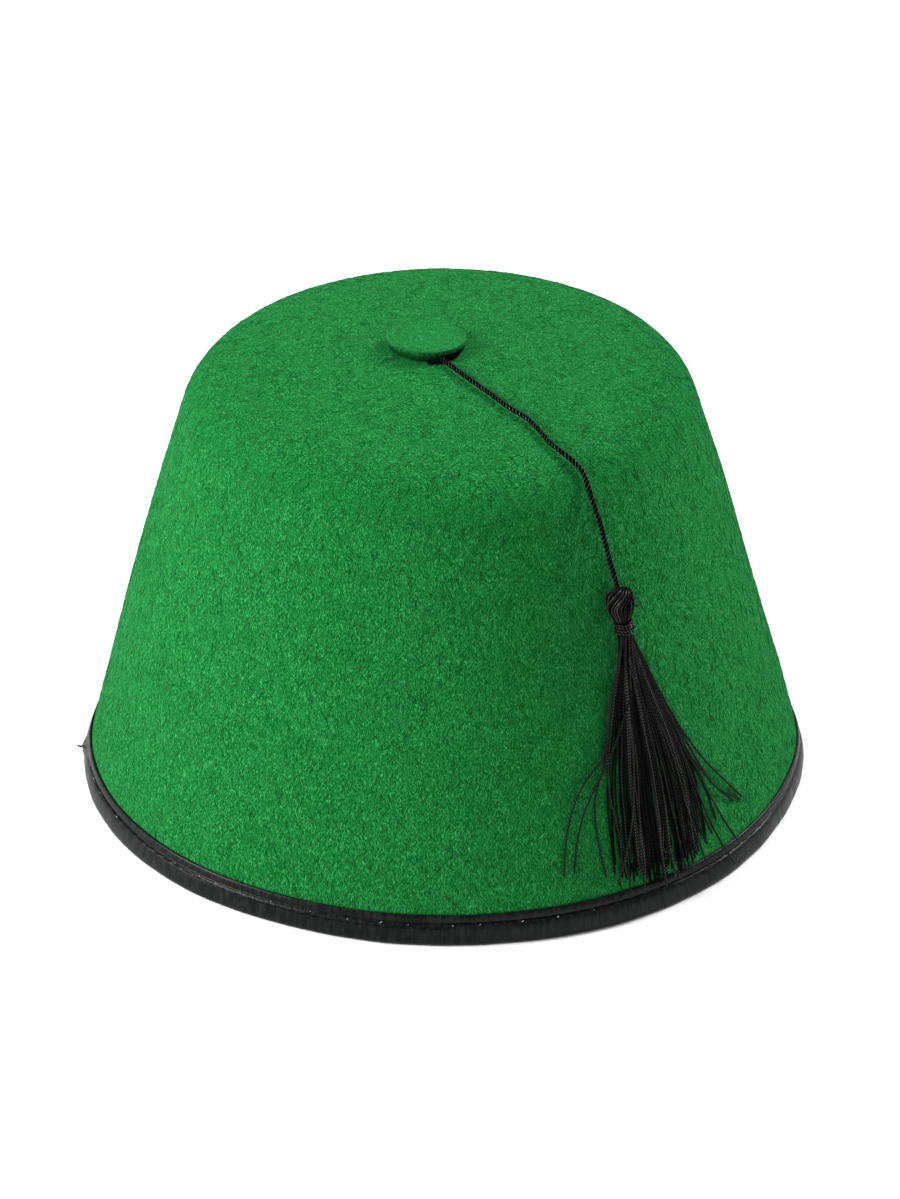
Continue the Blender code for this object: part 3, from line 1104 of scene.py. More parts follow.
@dataclass
class Fibres:
    """Short fibres that lie on a surface, each a thin closed spindle with a bend.

    Every field but sunk has one number or one vector for each fibre: its middle, its way, the direction
    out of the surface, half its length, its bend aside, its thickness, how far its middle lifts, and how
    far one of its ends stands up.
    """

    base: Array
    way: Array
    out: Array
    half: Array
    bend: Array
    thick: Array
    lift: Array
    standing: Array
    sunk: float

    def build(self, name: str, finish: Finish, turn: Matrix = Matrix()) -> Piece:
        """Builds all fibres as one piece.

        Args:
            name: The piece's name.
            finish: The fibres' material.
            turn: Where the fibres' own frame lies.

        Returns:
            The piece.
        """
        bm = bmesh.new()
        bmesh.ops.create_uvsphere(bm, u_segments=3, v_segments=3, radius=1.0)
        piece, corners = repeated_piece(bm, name, len(self.base), finish)
        beside = unit(np.cross(self.out, self.way))
        t = corners[..., 2]
        rise = self.lift[:, None] * (1 - t**2) - self.sunk
        rise = rise + self.standing[:, None] * np.clip(t, 0.0, 1.0) ** 2
        rise = rise + self.thick[:, None] * corners[..., 1]
        aside = self.bend[:, None] * t**2 + self.thick[:, None] * corners[..., 0]
        place = self.base[:, None] + self.way[:, None] * (self.half[:, None] * t)[..., None]
        place = place + beside[:, None] * aside[..., None] + self.out[:, None] * rise[..., None]
        matrix = np.array(turn)
        lay_out(piece, place @ matrix[:3, :3].T + matrix[:3, 3])
        return piece


@dataclass
class Studio:
    """The camera, the pale floor and the soft lights."""

    lens: float = 174.1
    sensor: float = 36.0
    distance: float = 1.618
    elevation: float = math.radians(31.66)
    aim: tuple[float, float, float] = (0.0018, 0.0, 0.0498)
    floor_size: float = 12.0
    floor_shade: float = 0.93
    lit_point: tuple[float, float, float] = (0.0, 0.0, 0.06)
    surround: float = 0.50

    def towards(self, place: Vector, point: tuple[float, float, float]) -> Euler:
        """The turn that makes a camera or a light at a place look at a point."""
        return (Vector(point) - place).to_track_quat("-Z", "Y").to_euler()

    def place_camera(self) -> None:
        """Puts the camera at the photograph's angle."""
        data = bpy.data.cameras.new("camera")
        data.lens = self.lens
        data.sensor_width = self.sensor
        data.clip_end = 30.0
        camera = bpy.data.objects.new("camera", data)
        back = self.distance * math.cos(self.elevation)
        camera.location = (0.0, -back, self.distance * math.sin(self.elevation))
        camera.rotation_euler = self.towards(camera.location, self.aim)
        bpy.context.scene.collection.objects.link(camera)
        bpy.context.scene.camera = camera

    def lay_floor(self) -> None:
        """Lays the pale floor."""
        bm = bmesh.new()
        bmesh.ops.create_grid(bm, x_segments=2, y_segments=2, size=self.floor_size / 2)
        floor = piece_from(bm, "floor", PaleFinish("pale_floor", (self.floor_shade,) * 3).material())

    def add_light(self, name: str, place: tuple[float, float, float], size: float, power: float) -> None:
        """Adds a square soft light that points at the hat.

        Args:
            name: The light's name.
            place: Where it stands.
            size: Its side.
            power: Its power, in watts.
        """
        data = bpy.data.lights.new(name, "AREA")
        data.shape = "SQUARE"
        data.size = size
        data.energy = power
        light = bpy.data.objects.new(name, data)
        light.location = place
        light.rotation_euler = self.towards(light.location, self.lit_point)
        bpy.context.scene.collection.objects.link(light)

    def light(self) -> None:
        """Adds the lights and the white surround."""
        self.add_light("key_left", (-1.62, -0.44, 0.88), 0.8, 65.0)
        self.add_light("rim_right", (1.36, 0.84, 1.30), 0.6, 49.0)
        world = bpy.data.worlds.new("studio")
        world.use_nodes = True
        surround = world.node_tree.nodes["Background"]
        surround.inputs["Color"].default_value = (1.0, 1.0, 1.0, 1.0)
        surround.inputs["Strength"].default_value = self.surround
        bpy.context.scene.world = world
        bpy.context.scene.view_settings.view_transform = "Standard"

    def build(self) -> None:
        """Builds the studio."""
        self.place_camera()
        self.lay_floor()
        self.light()


@dataclass
class FeltCrown:
    """The moulded felt shell and the loose fibres on it."""

    steps: int = 320
    outer_rings: int = 128
    inner_rings: int = 44
    foot: float = 0.0012
    strip_top: float = 0.0088
    pressed: float = 0.0002
    pressed_top: float = 0.0101
    pressed_fade: float = 0.0014
    tucked: float = 0.0009
    swell: float = 0.0001
    swell_top: float = 0.034
    swell_fade: float = 0.022
    swell_foot: float = 0.0062
    swell_rise: float = 0.0024
    fibres: int = 14000
    fibre_radius: float = 0.000045
    fibre_half_length: float = 0.00155
    fibre_lift: float = 0.00014
    standing_share: float = 0.05

    def build_shell(self, finish: Finish) -> Piece:
        """Builds the felt itself, outside and inside.

        Args:
            finish: The felt's material.

        Returns:
            The piece.
        """
        outer = CROWN.outline(np.linspace(0.0, CROWN.run - self.foot, self.outer_rings))
        inner = CROWN.outline(np.linspace(CROWN.run - self.foot, 0.0, self.inner_rings), CROWN.felt)
        radius = np.concatenate([outer[0], inner[0]])
        height = np.concatenate([outer[1], inner[1]])
        inside_strip = np.clip((self.strip_top - height) / self.strip_top, 0.0, 1.0)
        radius = radius - inside_strip * self.tucked
        bm = turned_form(list(zip(radius, height)), self.steps)
        bm.normal_update()
        places = np.array([vert.co for vert in bm.verts])
        relief = CROWN.relief(places)
        azimuth = np.arctan2(places[:, 0], -places[:, 1])
        near_strip = ease((self.pressed_top - places[:, 2]) / self.pressed_fade)
        hugged = CROWN.hugged(azimuth)
        over_strip = ease((self.swell_top - places[:, 2]) / self.swell_fade)
        over_strip = over_strip * ease((places[:, 2] - self.swell_foot) / self.swell_rise)
        close = CROWN.hugged(azimuth, first=76)
        sway = CROWN.sway(azimuth, places[:, 2]) - near_strip * self.pressed * (1 - close)
        sway = sway + self.swell * hugged * over_strip
        for vert, rise, push in zip(bm.verts, relief, sway):
            flat = Vector((vert.co.x, vert.co.y, 0.0))
            aside = flat.normalized() * push * min(1.0, flat.length / CROWN.top_radius)
            vert.co += vert.normal * rise + aside
        return piece_from(bm, "crown_felt", finish)

    def build_fibres(self, name: str, seed: int, finish: Finish) -> Piece:
        """Builds loose fibres that lie on the felt, some with an end that stands up.

        Args:
            name: The piece's name.
            seed: Seed of the random places.
            finish: The fibres' material.

        Returns:
            The piece.
        """
        dice = np.random.default_rng(seed)
        run = self.spread_runs(dice)
        azimuth = dice.uniform(-math.pi, math.pi, self.fibres)
        radius, height, turned = CROWN.outline(run)
        radial = around(azimuth, 1.0, 0.0)
        along_rim = around(azimuth + math.pi / 2, 1.0, 0.0)
        out = radial * np.sin(turned)[:, None] + UP * np.cos(turned)[:, None]
        down = radial * np.cos(turned)[:, None] - UP * np.sin(turned)[:, None]
        sway = CROWN.sway(azimuth, height) * np.minimum(1.0, radius / CROWN.top_radius)
        base = radial * radius[:, None] + UP * height[:, None]
        base = base + out * CROWN.relief(base)[:, None] + radial * sway[:, None]
        swirl = unevenness(base, 0.012, 9.0) * 2.2
        lean = dice.choice([-1.0, 1.0], self.fibres) * dice.normal(0.34, 0.2, self.fibres)
        curl = np.clip((0.95 - turned) / 0.5, 0.0, 1.0)
        angle = lean + swirl * 0.25 + curl * dice.uniform(-math.pi, math.pi, self.fibres)
        way = down * np.cos(angle)[:, None] + along_rim * np.sin(angle)[:, None]
        half = self.fibre_half_length * dice.uniform(0.55, 1.5, self.fibres)
        bend = half * dice.normal(0.0, 0.30, self.fibres) * (1 + curl)
        lift = self.fibre_lift * dice.uniform(0.2, 1.3, self.fibres)
        stands = dice.uniform(size=self.fibres) < self.standing_share
        standing = np.where(stands, dice.uniform(0.2, 0.6, self.fibres), 0.0) * half
        thick = self.fibre_radius * dice.uniform(0.7, 1.5, self.fibres)
        laid = Fibres(base, way, out, half, bend, thick, lift, standing, sunk=0.00003)
        piece = laid.build(name, finish)
        write_shades(piece, dice.uniform(0.0, 1.0, self.fibres) ** 1.8)
        return piece

    def spread_runs(self, dice: np.random.Generator) -> Array:
        """Places along the outline, as many on each square millimetre of the felt.

        Args:
            dice: The random generator.

        Returns:
            Lengths along the outline, one for each fibre.
        """
        run = np.linspace(0.0, CROWN.run - self.strip_top - self.foot, 400)
        area = np.cumsum(CROWN.outline(run)[0])
        return np.interp(dice.uniform(area[0], area[-1], self.fibres), area, run)

    def build(self, shared: Shared) -> None:
        """Builds the crown and dresses it.

        Args:
            shared: The shared node groups.
        """
        dress(self.build_shell(FeltFinish().material(shared)), Slot.FELT, "crown")
        fibre = FibreFinish().material()
        dress(self.build_fibres("felt_fibres_near", 11, fibre), Slot.FELT)
        dress(self.build_fibres("felt_fibres_far", 12, fibre), Slot.FELT)


@dataclass
class FeltButton:
    """The felt disc on the top, cut by hand, with fuzz along its edge."""

    radius: float = 0.0104
    thickness: float = 0.0028
    edge: float = 0.00022
    shift: tuple[float, float] = (-0.0045, 0.0018)
    tilt: float = math.radians(2)
    lean: float = math.radians(3)
    raised: float = -0.00055
    steps: int = 120
    uneven: float = 0.00030
    grain: float = 0.00005
    grain_size: float = 0.0016
    fray: float = 0.00009
    fray_size: float = 0.0005
    # Where painted shade begins down the cut wall, and how fast it darkens towards the bottom
    painted_shade_start: float = 0.06
    painted_shade_rise: float = 3.2
    fuzz: int = 2600
    edge_fibre: float = 0.00050
    face_fibre: float = 0.0008
    fibre_radius: float = 0.000042
    fibre_lift: float = 0.0001

    @property
    def middle(self) -> Vector:
        """Middle of the disc."""
        seat = CROWN.height + CROWN.top_rise + CROWN.clearance + self.radius * math.sin(self.tilt)
        return Vector((*self.shift, seat + self.thickness / 2 + self.raised))

    def section(self) -> list[tuple[float, float]]:
        """Outline (radius, height) of the disc about its own middle, from the top to the bottom.

        Returns:
            The points.
        """
        half = self.thickness / 2
        flat = self.radius - self.edge
        top = [(flat * share, half + 0.00008 * (1 - share**2)) for share in np.linspace(0.0, 1.0, 18)]
        corner = [
            (flat + self.edge * math.sin(turn), half - self.edge + self.edge * math.cos(turn))
            for turn in np.linspace(0.0, math.pi / 2, 4)[1:]
        ]
        wall = [
            (self.radius - 0.00015 * share, half - self.edge - share * 1.2 * half)
            for share in (0.25, 0.5, 0.75)
        ]
        return [*top, *corner, *wall, (flat - 0.0001, -half), (flat / 2, -half), (0.0, -half)]

    def build_disc(self, finish: Finish) -> Piece:
        """Builds the disc.

        Args:
            finish: The felt's material.

        Returns:
            The piece.
        """
        bm = turned_form(self.section(), self.steps)
        half = self.thickness / 2
        # Painted shade under the face's edge: 0 on the face, darker towards the wall's bottom, with the cut
        # felt's own darker tone in it
        shade = []
        for vert in bm.verts:
            share = vert.co.xy.length / self.radius
            bearing = Vector((*vert.co.xy, 0.0)).normalized()
            below = (half - vert.co.z) / self.thickness if share > 0.9 else 0.0
            shade.append(min(1.0, self.painted_shade_rise * max(0.0, below - self.painted_shade_start)))
            cut = noise.noise(bearing * 1.7 + Vector((3, 1, 2)))
            cut += 0.35 * noise.noise(bearing * 9 + Vector((0, 5, 1)))
            vert.co.xy *= 1 + share**4 * self.uneven / self.radius * cut
            vert.co.z += self.grain * noise.noise(vert.co / self.grain_size)
            if share > 0.97:
                vert.co.xy *= 1 + self.fray / self.radius * noise.noise(vert.co / self.fray_size)
        bmesh.ops.transform(bm, matrix=self.turn(), verts=bm.verts[:])
        piece = piece_from(bm, "button_felt", finish)
        write_attribute(piece, PAINTED_EDGE_SHADE, np.array(shade))
        return piece

    def turn(self) -> Matrix:
        """The disc's place and tilt as a matrix."""
        tilted = Matrix.Rotation(self.tilt, 4, "Y") @ Matrix.Rotation(-self.lean, 4, "X")
        return Matrix.Translation(self.middle) @ tilted

    def build_fuzz(self, finish: Finish) -> Piece:
        """Builds the short fibres on the disc's face and round its cut edge.

        Args:
            finish: The fibres' material.

        Returns:
            The piece.
        """
        dice = np.random.default_rng(5)
        at_edge = np.arange(self.fuzz) < self.fuzz * 0.7
        angle = dice.uniform(-math.pi, math.pi, self.fuzz)
        face = np.sqrt(dice.uniform(0.0, 0.97, self.fuzz)) * self.radius
        radius = np.where(at_edge, self.radius, face)
        half = self.thickness / 2
        below = 0.9 * dice.uniform(0.0, 1.0, self.fuzz) ** 2
        height = np.where(at_edge, (1.0 - below) * half, half + 0.00005)
        out = np.stack([np.cos(angle), np.sin(angle), np.zeros(self.fuzz)], axis=1)
        base = out * radius[:, None] + UP * height[:, None]
        spin = dice.uniform(-math.pi, math.pi, self.fuzz)
        flat = np.stack([np.cos(spin), np.sin(spin), np.zeros(self.fuzz)], axis=1)
        along_edge = np.stack([-np.sin(angle), np.cos(angle), np.zeros(self.fuzz)], axis=1)
        edge_way = along_edge * np.cos(spin)[:, None] + UP * np.sin(spin)[:, None] * 0.5
        edge_way = edge_way + out * dice.uniform(0.0, 0.5, self.fuzz)[:, None]
        way = unit(np.where(at_edge[:, None], edge_way, flat))
        off = np.where(at_edge[:, None], out, UP[None])
        half = dice.uniform(0.4, 1.2, self.fuzz) * np.where(at_edge, self.edge_fibre, self.face_fibre)
        thick = self.fibre_radius * dice.uniform(0.7, 1.4, self.fuzz)
        bend = half * dice.normal(0.0, 0.4, self.fuzz)
        lift = np.full(self.fuzz, self.fibre_lift)
        laid = Fibres(base, way, off, half, bend, thick, lift, 0 * half, sunk=0.00002)
        piece = laid.build("button_fuzz", finish, self.turn())
        write_shades(piece, dice.uniform(0.2, 1.0, self.fuzz))
        return piece

    def build(self, shared: Shared) -> None:
        """Builds the button and dresses it.

        Args:
            shared: The shared node groups.
        """
        # The disc's felt, with painted shade on its cut wall
        felt = FeltFinish(
            "button_green_felt",
            deep=(0.0006, 0.075, 0.0100),
            light=(0.0220, 0.310, 0.0640),
            curl_size=0.00072,
            painted_shade_attribute=PAINTED_EDGE_SHADE,
        )
        dress(self.build_disc(felt.material(shared)), Slot.FELT, "button")
        fuzz = FibreFinish("button_fibre", deep=(0.003, 0.110, 0.018), light=(0.034, 0.330, 0.092))
        dress(self.build_fuzz(fuzz.material()), Slot.FELT)


@dataclass
class RimBinding:
    """The strip of imitation leather folded over the rim, sewn in a groove, with one loose end."""

    height: float = 0.0088
    thickness: float = 0.0009
    rest_width: float = 0.0016
    top_gap: float = -0.00014
    steps: int = 600
    groove: float = 0.735
    stitch_pitch: float = 0.0042
    stitch_half: float = 0.40
    stitch_radius: float = 0.00016
    specks: int = 62
    speck_radius: float = 0.00011
    stitch_pull: float = 0.00004
    crinkle: float = 0.00012
    fold_size: float = 0.0023
    wave: float = 0.00018
    wave_size: float = 0.011
    end_azimuth: float = math.radians(-90.0)
    end_length: float = math.radians(10.5)
    end_lift: float = 0.0009
    end_thickness: float = 0.00045
    tail_radius: float = 0.00030
    hug: float = 0.0001
    clear_of_fold: float = 0.0001
    # Share of the strip's height, and of its thickness, from the outer leaf's edge down to the fold
    outer_face: tuple[tuple[float, float], ...] = (
        (1.00, 0.16), (0.995, 0.36), (0.97, 0.54), (0.91, 0.66), (0.84, 0.71), (0.787, 0.69),
        (0.762, 0.46), (0.735, 0.08), (0.712, 0.40), (0.69, 0.74), (0.65, 0.98), (0.57, 1.18),
        (0.46, 1.25), (0.33, 1.25), (0.21, 1.17), (0.12, 0.98), (0.055, 0.66),
    )
    # The same for the inner leaf, upwards
    inner_face: tuple[tuple[float, float], ...] = (
        (0.06, 0.72), (0.20, 1.0), (0.55, 1.0), (0.90, 1.0), (0.96, 0.4),
    )
    # Share of the strip's height, and how far the loose end stands off there
    ear: tuple[tuple[float, float], ...] = (
        (0.985, 0.02), (0.86, 0.10), (0.72, 0.26), (0.58, 0.50), (0.46, 0.80), (0.37, 1.00),
        (0.28, 0.86), (0.19, 0.45), (0.11, 0.10),
    )

    @property
    def stitch_count(self) -> int:
        """How many stitches go round the rim."""
        return round(math.tau * CROWN.rim_radius / self.stitch_pitch)

    @property
    def foot_radius(self) -> float:
        """Outer radius of the felt's cut edge, inside the fold."""
        feet = []
        for height, swell in self.outer_face[1:]:
            share = self.seat_share(height * self.height)
            seat = CROWN.rim_radius - self.thickness * swell - CROWN.clearance
            feet.append((seat - share * CROWN.side_radius(self.height)) / (1 - share))
        return min(feet)

    def seat_share(self, height: float) -> float:
        """Share of the way up the fold's pocket."""
        foot = self.thickness + CROWN.clearance
        return (height - foot) / (self.height - foot)

    def seat(self, height: float) -> float:
        """Outer radius of the felt inside the fold, at a height."""
        reach = CROWN.side_radius(self.height) - self.foot_radius
        return self.foot_radius + self.seat_share(height) * reach

    def open_top(self, share: Array | float) -> Array:
        """How far the strip's upper leaf stands off the felt at shares of its height."""
        return self.top_gap * np.maximum(0.0, (share - 0.55) / 0.45)

    def section(self) -> list[tuple[float, float]]:
        """Closed outline (radius, height) of the folded strip.

        Returns:
            The points.
        """
        outside = CROWN.clearance
        inside = -CROWN.felt - CROWN.clearance
        points = []
        for share, swell in self.outer_face:
            height = share * self.height
            off = outside + self.open_top(share)
            points.append((self.seat(height) + off + swell * self.thickness, height))
        middle = self.foot_radius - CROWN.felt / 2
        points += [(middle + self.rest_width / 2, 0.0), (middle - self.rest_width / 2, 0.0)]
        points += [
            (self.seat(share * self.height) + inside - swell * self.thickness, share * self.height)
            for share, swell in self.inner_face
        ]
        top = self.inner_face[-1][0] * self.height
        points.append((self.seat(top) + inside, top))
        points.append((self.foot_radius + inside, self.thickness))
        points.append((self.foot_radius + outside, self.thickness))
        points.append((self.seat(self.height) + outside + self.top_gap, self.height))
        return points

    def build_strip(self, finish: Finish) -> Piece:
        """Builds the strip with its creases and the pull of its stitches.

        Args:
            finish: The leather's material.

        Returns:
            The piece.
        """
        bm = turned_form(self.section(), self.steps, closed=True)
        for vert in bm.verts:
            radius = vert.co.xy.length
            height = vert.co.z
            azimuth = math.atan2(vert.co.x, -vert.co.y)
            push = float(CROWN.sway(azimuth, height))
            if radius > self.foot_radius + self.clear_of_fold and height > 0.0003:
                push -= self.hug * float(CROWN.hugged(np.array(azimuth)))
            if radius > self.foot_radius and height > 0.0003:
                push += self.crease(azimuth, height)
            if radius > self.foot_radius - CROWN.felt and height > 0.7 * self.height:
                push += self.gape(azimuth) * (height / self.height - 0.7) / 0.3
            vert.co.xy *= 1 + push / radius
        return piece_from(bm, "rim_binding_leather", finish)

    def gape(self, azimuth: float) -> float:
        """How far the strip's top edge stands open next to its loose end."""
        away = (azimuth - self.end_azimuth) / math.radians(24)
        return 0.0001 * max(0.0, 1 - abs(away)) if away > -0.15 else 0.0

    def crease(self, azimuth: float, height: float) -> float:
        """How far the strip stands out of its even form, at a place.

        Args:
            azimuth: The place's azimuth, in radians.
            height: Its height.

        Returns:
            The distance.
        """
        rim = azimuth * CROWN.rim_radius
        on_rim = Vector((math.sin(azimuth), math.cos(azimuth), 0.0)) * CROWN.rim_radius
        fold = noise.noise(on_rim / self.fold_size + Vector((0, 0, height / 0.010)))
        broad = noise.noise(on_rim / self.wave_size + Vector((5, 2, height / 0.02)))
        pitch = math.tau * CROWN.rim_radius / self.stitch_count
        beat = 0.5 + 0.5 * math.cos(math.tau * rim / pitch)
        near = math.exp(-(((height / self.height - self.groove) / 0.10) ** 2))
        pull = -self.stitch_pull * near * beat
        return self.crinkle * (0.55 * fold - 0.35 * abs(fold)) + self.wave * broad + pull

    def groove_point(self, azimuth: Array, height: float, out: float) -> Array:
        """Points on the strip's face at a height.

        Args:
            azimuth: Azimuths, in radians.
            height: Heights.
            out: Distances out of the felt inside the strip.

        Returns:
            The points, with the axes last.
        """
        face = self.seat(height) + CROWN.clearance + self.open_top(height / self.height)
        radius = face + out + CROWN.sway(azimuth, height)
        return around(azimuth, radius, height)

    def build_stitches(self, finish: Finish) -> Piece:
        """Builds the machine stitches down in the groove.

        Args:
            finish: The sewing thread's material.

        Returns:
            The piece.
        """
        count = self.stitch_count
        share = np.linspace(-self.stitch_half, self.stitch_half, 7)
        azimuth = (np.arange(count)[:, None] + 0.5 + share[None]) * math.tau / count
        dip = 0.00024 * (1 - (np.abs(share) / self.stitch_half) ** 4) + 0.00012
        height = self.groove * self.height
        paths = np.stack([self.groove_point(at, height, out) for at, out in zip(azimuth.T, dip)], axis=1)
        out = around(azimuth, 1.0, 0.0)
        threads = Threads("rim_stitches", self.stitch_radius, pitch=0.0009, sides=5, tip_taper=0.5)
        # Faint painted glints on the stitches
        return threads.build(paths, out, np.full(count, 0.03), finish)

    def build_specks(self, finish: Finish) -> Piece:
        """Builds the pale bits of backing that show at some needle holes.

        Args:
            finish: The backing's material.

        Returns:
            The piece.
        """
        dice = np.random.default_rng(21)
        azimuth = np.cumsum(dice.uniform(0.06, 0.14, self.specks)) - math.pi
        azimuth = np.where((azimuth > 0.45) & (azimuth < 1.85), azimuth - 3.9, azimuth)
        middle = (self.groove - 0.035 + dice.uniform(-0.015, 0.02, self.specks)) * self.height
        half = dice.uniform(0.00010, 0.00034, self.specks) / CROWN.rim_radius
        share = np.linspace(-1.0, 1.0, 5)
        tilt = dice.uniform(-0.0002, 0.0002, self.specks)
        dip = 0.00066 + 0.00005 * (1 - share**2)
        places = [(azimuth + s * half, middle + tilt * s, out) for s, out in zip(share, dip)]
        paths = np.stack([self.groove_point(*place) for place in places], axis=1)
        out = unit(paths * np.array([1.0, 1.0, 0.0]))
        threads = Threads("rim_specks", self.speck_radius, pitch=0.001, sides=5, tip_taper=0.4)
        return threads.build(paths, out, np.full(self.specks, 1.0), finish)

    def build_end(self, finish: Finish) -> Piece:
        """Builds the strip's loose end, which stands off the rim like a small ear.

        Args:
            finish: The leather's material.

        Returns:
            The piece.
        """
        rings = []
        for step in np.linspace(0.0, 1.0, 15):
            azimuth = self.end_azimuth + step * self.end_length
            lift = self.end_lift * (1 - float(ease(np.array(step / 0.42))))
            sunk = 0.00028 * float(ease(np.array((step - 0.5) / 0.5)))
            radial = Vector((math.sin(azimuth), -math.cos(azimuth), 0))
            outer = []
            inner = []
            for share, ear in self.ear:
                height = share * self.height
                flat = np.interp(share, (0.1, 0.4, 0.65, 0.8, 1.0), (0.90, 1.16, 0.94, 0.74, 0.50))
                face = self.seat(height) + CROWN.clearance + self.open_top(share)
                face += self.thickness * float(flat) + float(CROWN.sway(azimuth, height))
                face += self.gape(azimuth) * max(0.0, (share - 0.7) / 0.3) + lift * ear - sunk
                outer.append(radial * face + Vector((0, 0, height)))
                inner.append(radial * (face - self.end_thickness) + Vector((0, 0, height)))
            rings.append(outer + inner[::-1])
        return piece_from(bridged_form(rings), "rim_binding_end", finish)

    def build_tail(self, finish: Finish) -> Piece:
        """Builds the snipped thread that sticks out at the loose end.

        Args:
            finish: The sewing thread's material.

        Returns:
            The piece.
        """
        height = 0.40 * self.height
        first = self.groove_point(np.array(self.end_azimuth + 0.01), height, 0.0018)
        steps = ((0.0, 0.0, 0.0), (-0.5, -0.4, -0.1), (-1.0, -0.5, 0.1), (-1.4, -0.3, 0.2))
        own = first + np.array(steps) / MILLIMETRES
        path = smooth_path(own, 10)[None]
        out = np.broadcast_to(UP, path.shape)
        threads = Threads("rim_thread_end", self.tail_radius, pitch=0.0009, sides=5)
        return threads.build(path, out, np.array([0.0]), finish)

    def build(self, shared: Shared) -> None:
        """Builds the binding and dresses it.

        Args:
            shared: The shared node groups.
        """
        leather = LeatherFinish().material(shared)
        thread = ThreadFinish("sewing_thread", pitch=0.0009).material(shared)
        pale = PaleFinish("pale_backing", (0.42, 0.40, 0.38)).material()
        dress(self.build_strip(leather), Slot.LEATHER, "rim_binding")
        dress(self.build_end(leather), Slot.LEATHER)
        dress(self.build_stitches(thread), Slot.THREAD)
        dress(self.build_specks(pale), Slot.THREAD)
        dress(self.build_tail(thread), Slot.THREAD)


@dataclass
class TwistedCord:
    """The three-ply cord from the button to the tassel, and its clump under the button."""

    diameter: float = 0.0014
    pitch: float = 0.0036
    yarn_pitch: float = 0.0011
    plies: int = 3
    points: int = 420
    # Places on the middle line of each loop, in millimetres
    clump: tuple[tuple[tuple[float, float, float], ...], ...] = (
        ((-4.2, -9.0, 128.0), (-2.8, -9.1, 128.1), (-1.4, -8.8, 128.3), (0.4, -9.2, 128.3)),
        ((0.0, -8.0, 128.2), (1.8, -7.0, 128.3), (3.6, -5.2, 128.3), (4.7, -2.6, 128.4)),
        ((0.4, -8.3, 128.6), (2.2, -7.2, 128.8), (3.8, -5.3, 129.0), (4.6, -3.4, 129.1)),
    )

    def plies_as(self, name: str, radius: float) -> Threads:
        """Plies of the cord, each with three yarns of its own."""
        return Threads(name, radius, pitch=self.yarn_pitch, lobes=3, lobe_depth=0.16, sides=8)

    def middle_line(self) -> Array:
        """Points of the cord's middle line."""
        return smooth_path(np.array(CORD_ROUTE), self.points)

    def ply_paths(self, line: Array, thickness: float) -> tuple[Array, Array]:
        """Middle lines of the plies that wind round a line, and directions out of them.

        Args:
            line: Points of the line.
            thickness: Thickness of the cord that the plies make.

        Returns:
            The middle lines and the directions, both as plies, points and axes.
        """
        radius = thickness * 0.27
        along = lengths_along(line)
        tangent = unit(np.gradient(line, axis=0))
        up = UP * 0.9 + unit(line * (1, 1, 0)) * 0.6
        normal = unit(up - tangent * np.sum(up * tangent, axis=1, keepdims=True))
        beside = np.cross(tangent, normal)
        paths = []
        outs = []
        for ply in range(self.plies):
            angle = math.tau * (along / self.pitch + ply / self.plies)
            out = normal * np.cos(angle)[:, None] + beside * np.sin(angle)[:, None]
            paths.append(line + out * radius)
            outs.append(out)
        return np.stack(paths), np.stack(outs)

    def build_cord(self, finish: Finish) -> Piece:
        """Args:
            finish: The thread's material.

        Returns:
            The piece.
        """
        line = self.middle_line()
        paths, outs = self.ply_paths(line, self.diameter * 1.04)
        threads = self.plies_as("twisted_cord", self.diameter * 0.235)
        # Painted glint strength of each ply
        piece = threads.build(paths, outs, np.array([1.0, 0.55, 0.8]), finish)
        return piece

    def build_clump(self, finish: Finish) -> Piece:
        """Builds the cord's turns that show under the button's front edge.

        Args:
            finish: The thread's material.

        Returns:
            The piece.
        """
        paths = []
        outs = []
        for loop in self.clump:
            line = smooth_path(np.array(loop) / MILLIMETRES, 60)
            ply, out = self.ply_paths(line, self.diameter * 0.78)
            paths.append(ply)
            outs.append(out)
        # Painted glint strength of each loop's plies, faint under the button
        glint_strengths = np.repeat([0.35, 0.02, 0.04], self.plies)
        threads = self.plies_as("cord_clump", self.diameter * 0.18)
        return threads.build(np.concatenate(paths), np.concatenate(outs), glint_strengths, finish)

    def build(self, shared: Shared) -> None:
        """Builds the cord and dresses it.

        Args:
            shared: The shared node groups.
        """
        # Near-black cord; its light colour is glints painted on the outer crests of its plies
        finish = ThreadFinish(
            "cord_thread",
            light=(0.062, 0.066, 0.055),
            pitch=self.yarn_pitch,
            plies=0.0,
            gloss=0.012,
            glint=0.5,
            outer=0.87,
            crest=0.11,
        ).material(shared)
        dress(self.build_cord(finish), Slot.THREAD, "cord")
        dress(self.build_clump(finish), Slot.THREAD)


@dataclass(frozen=True)
class Strand:
    """A strand that leaves the tassel's bulk, and the places that it passes on its way to the tip.

    The places are heights and distances across from the tassel's middle, in millimetres.
    """

    heights: tuple[float, ...]
    across: tuple[float, ...]
    lift: float = 0.0005
    # How strongly the strand's painted glints show
    tone: float = 0.3


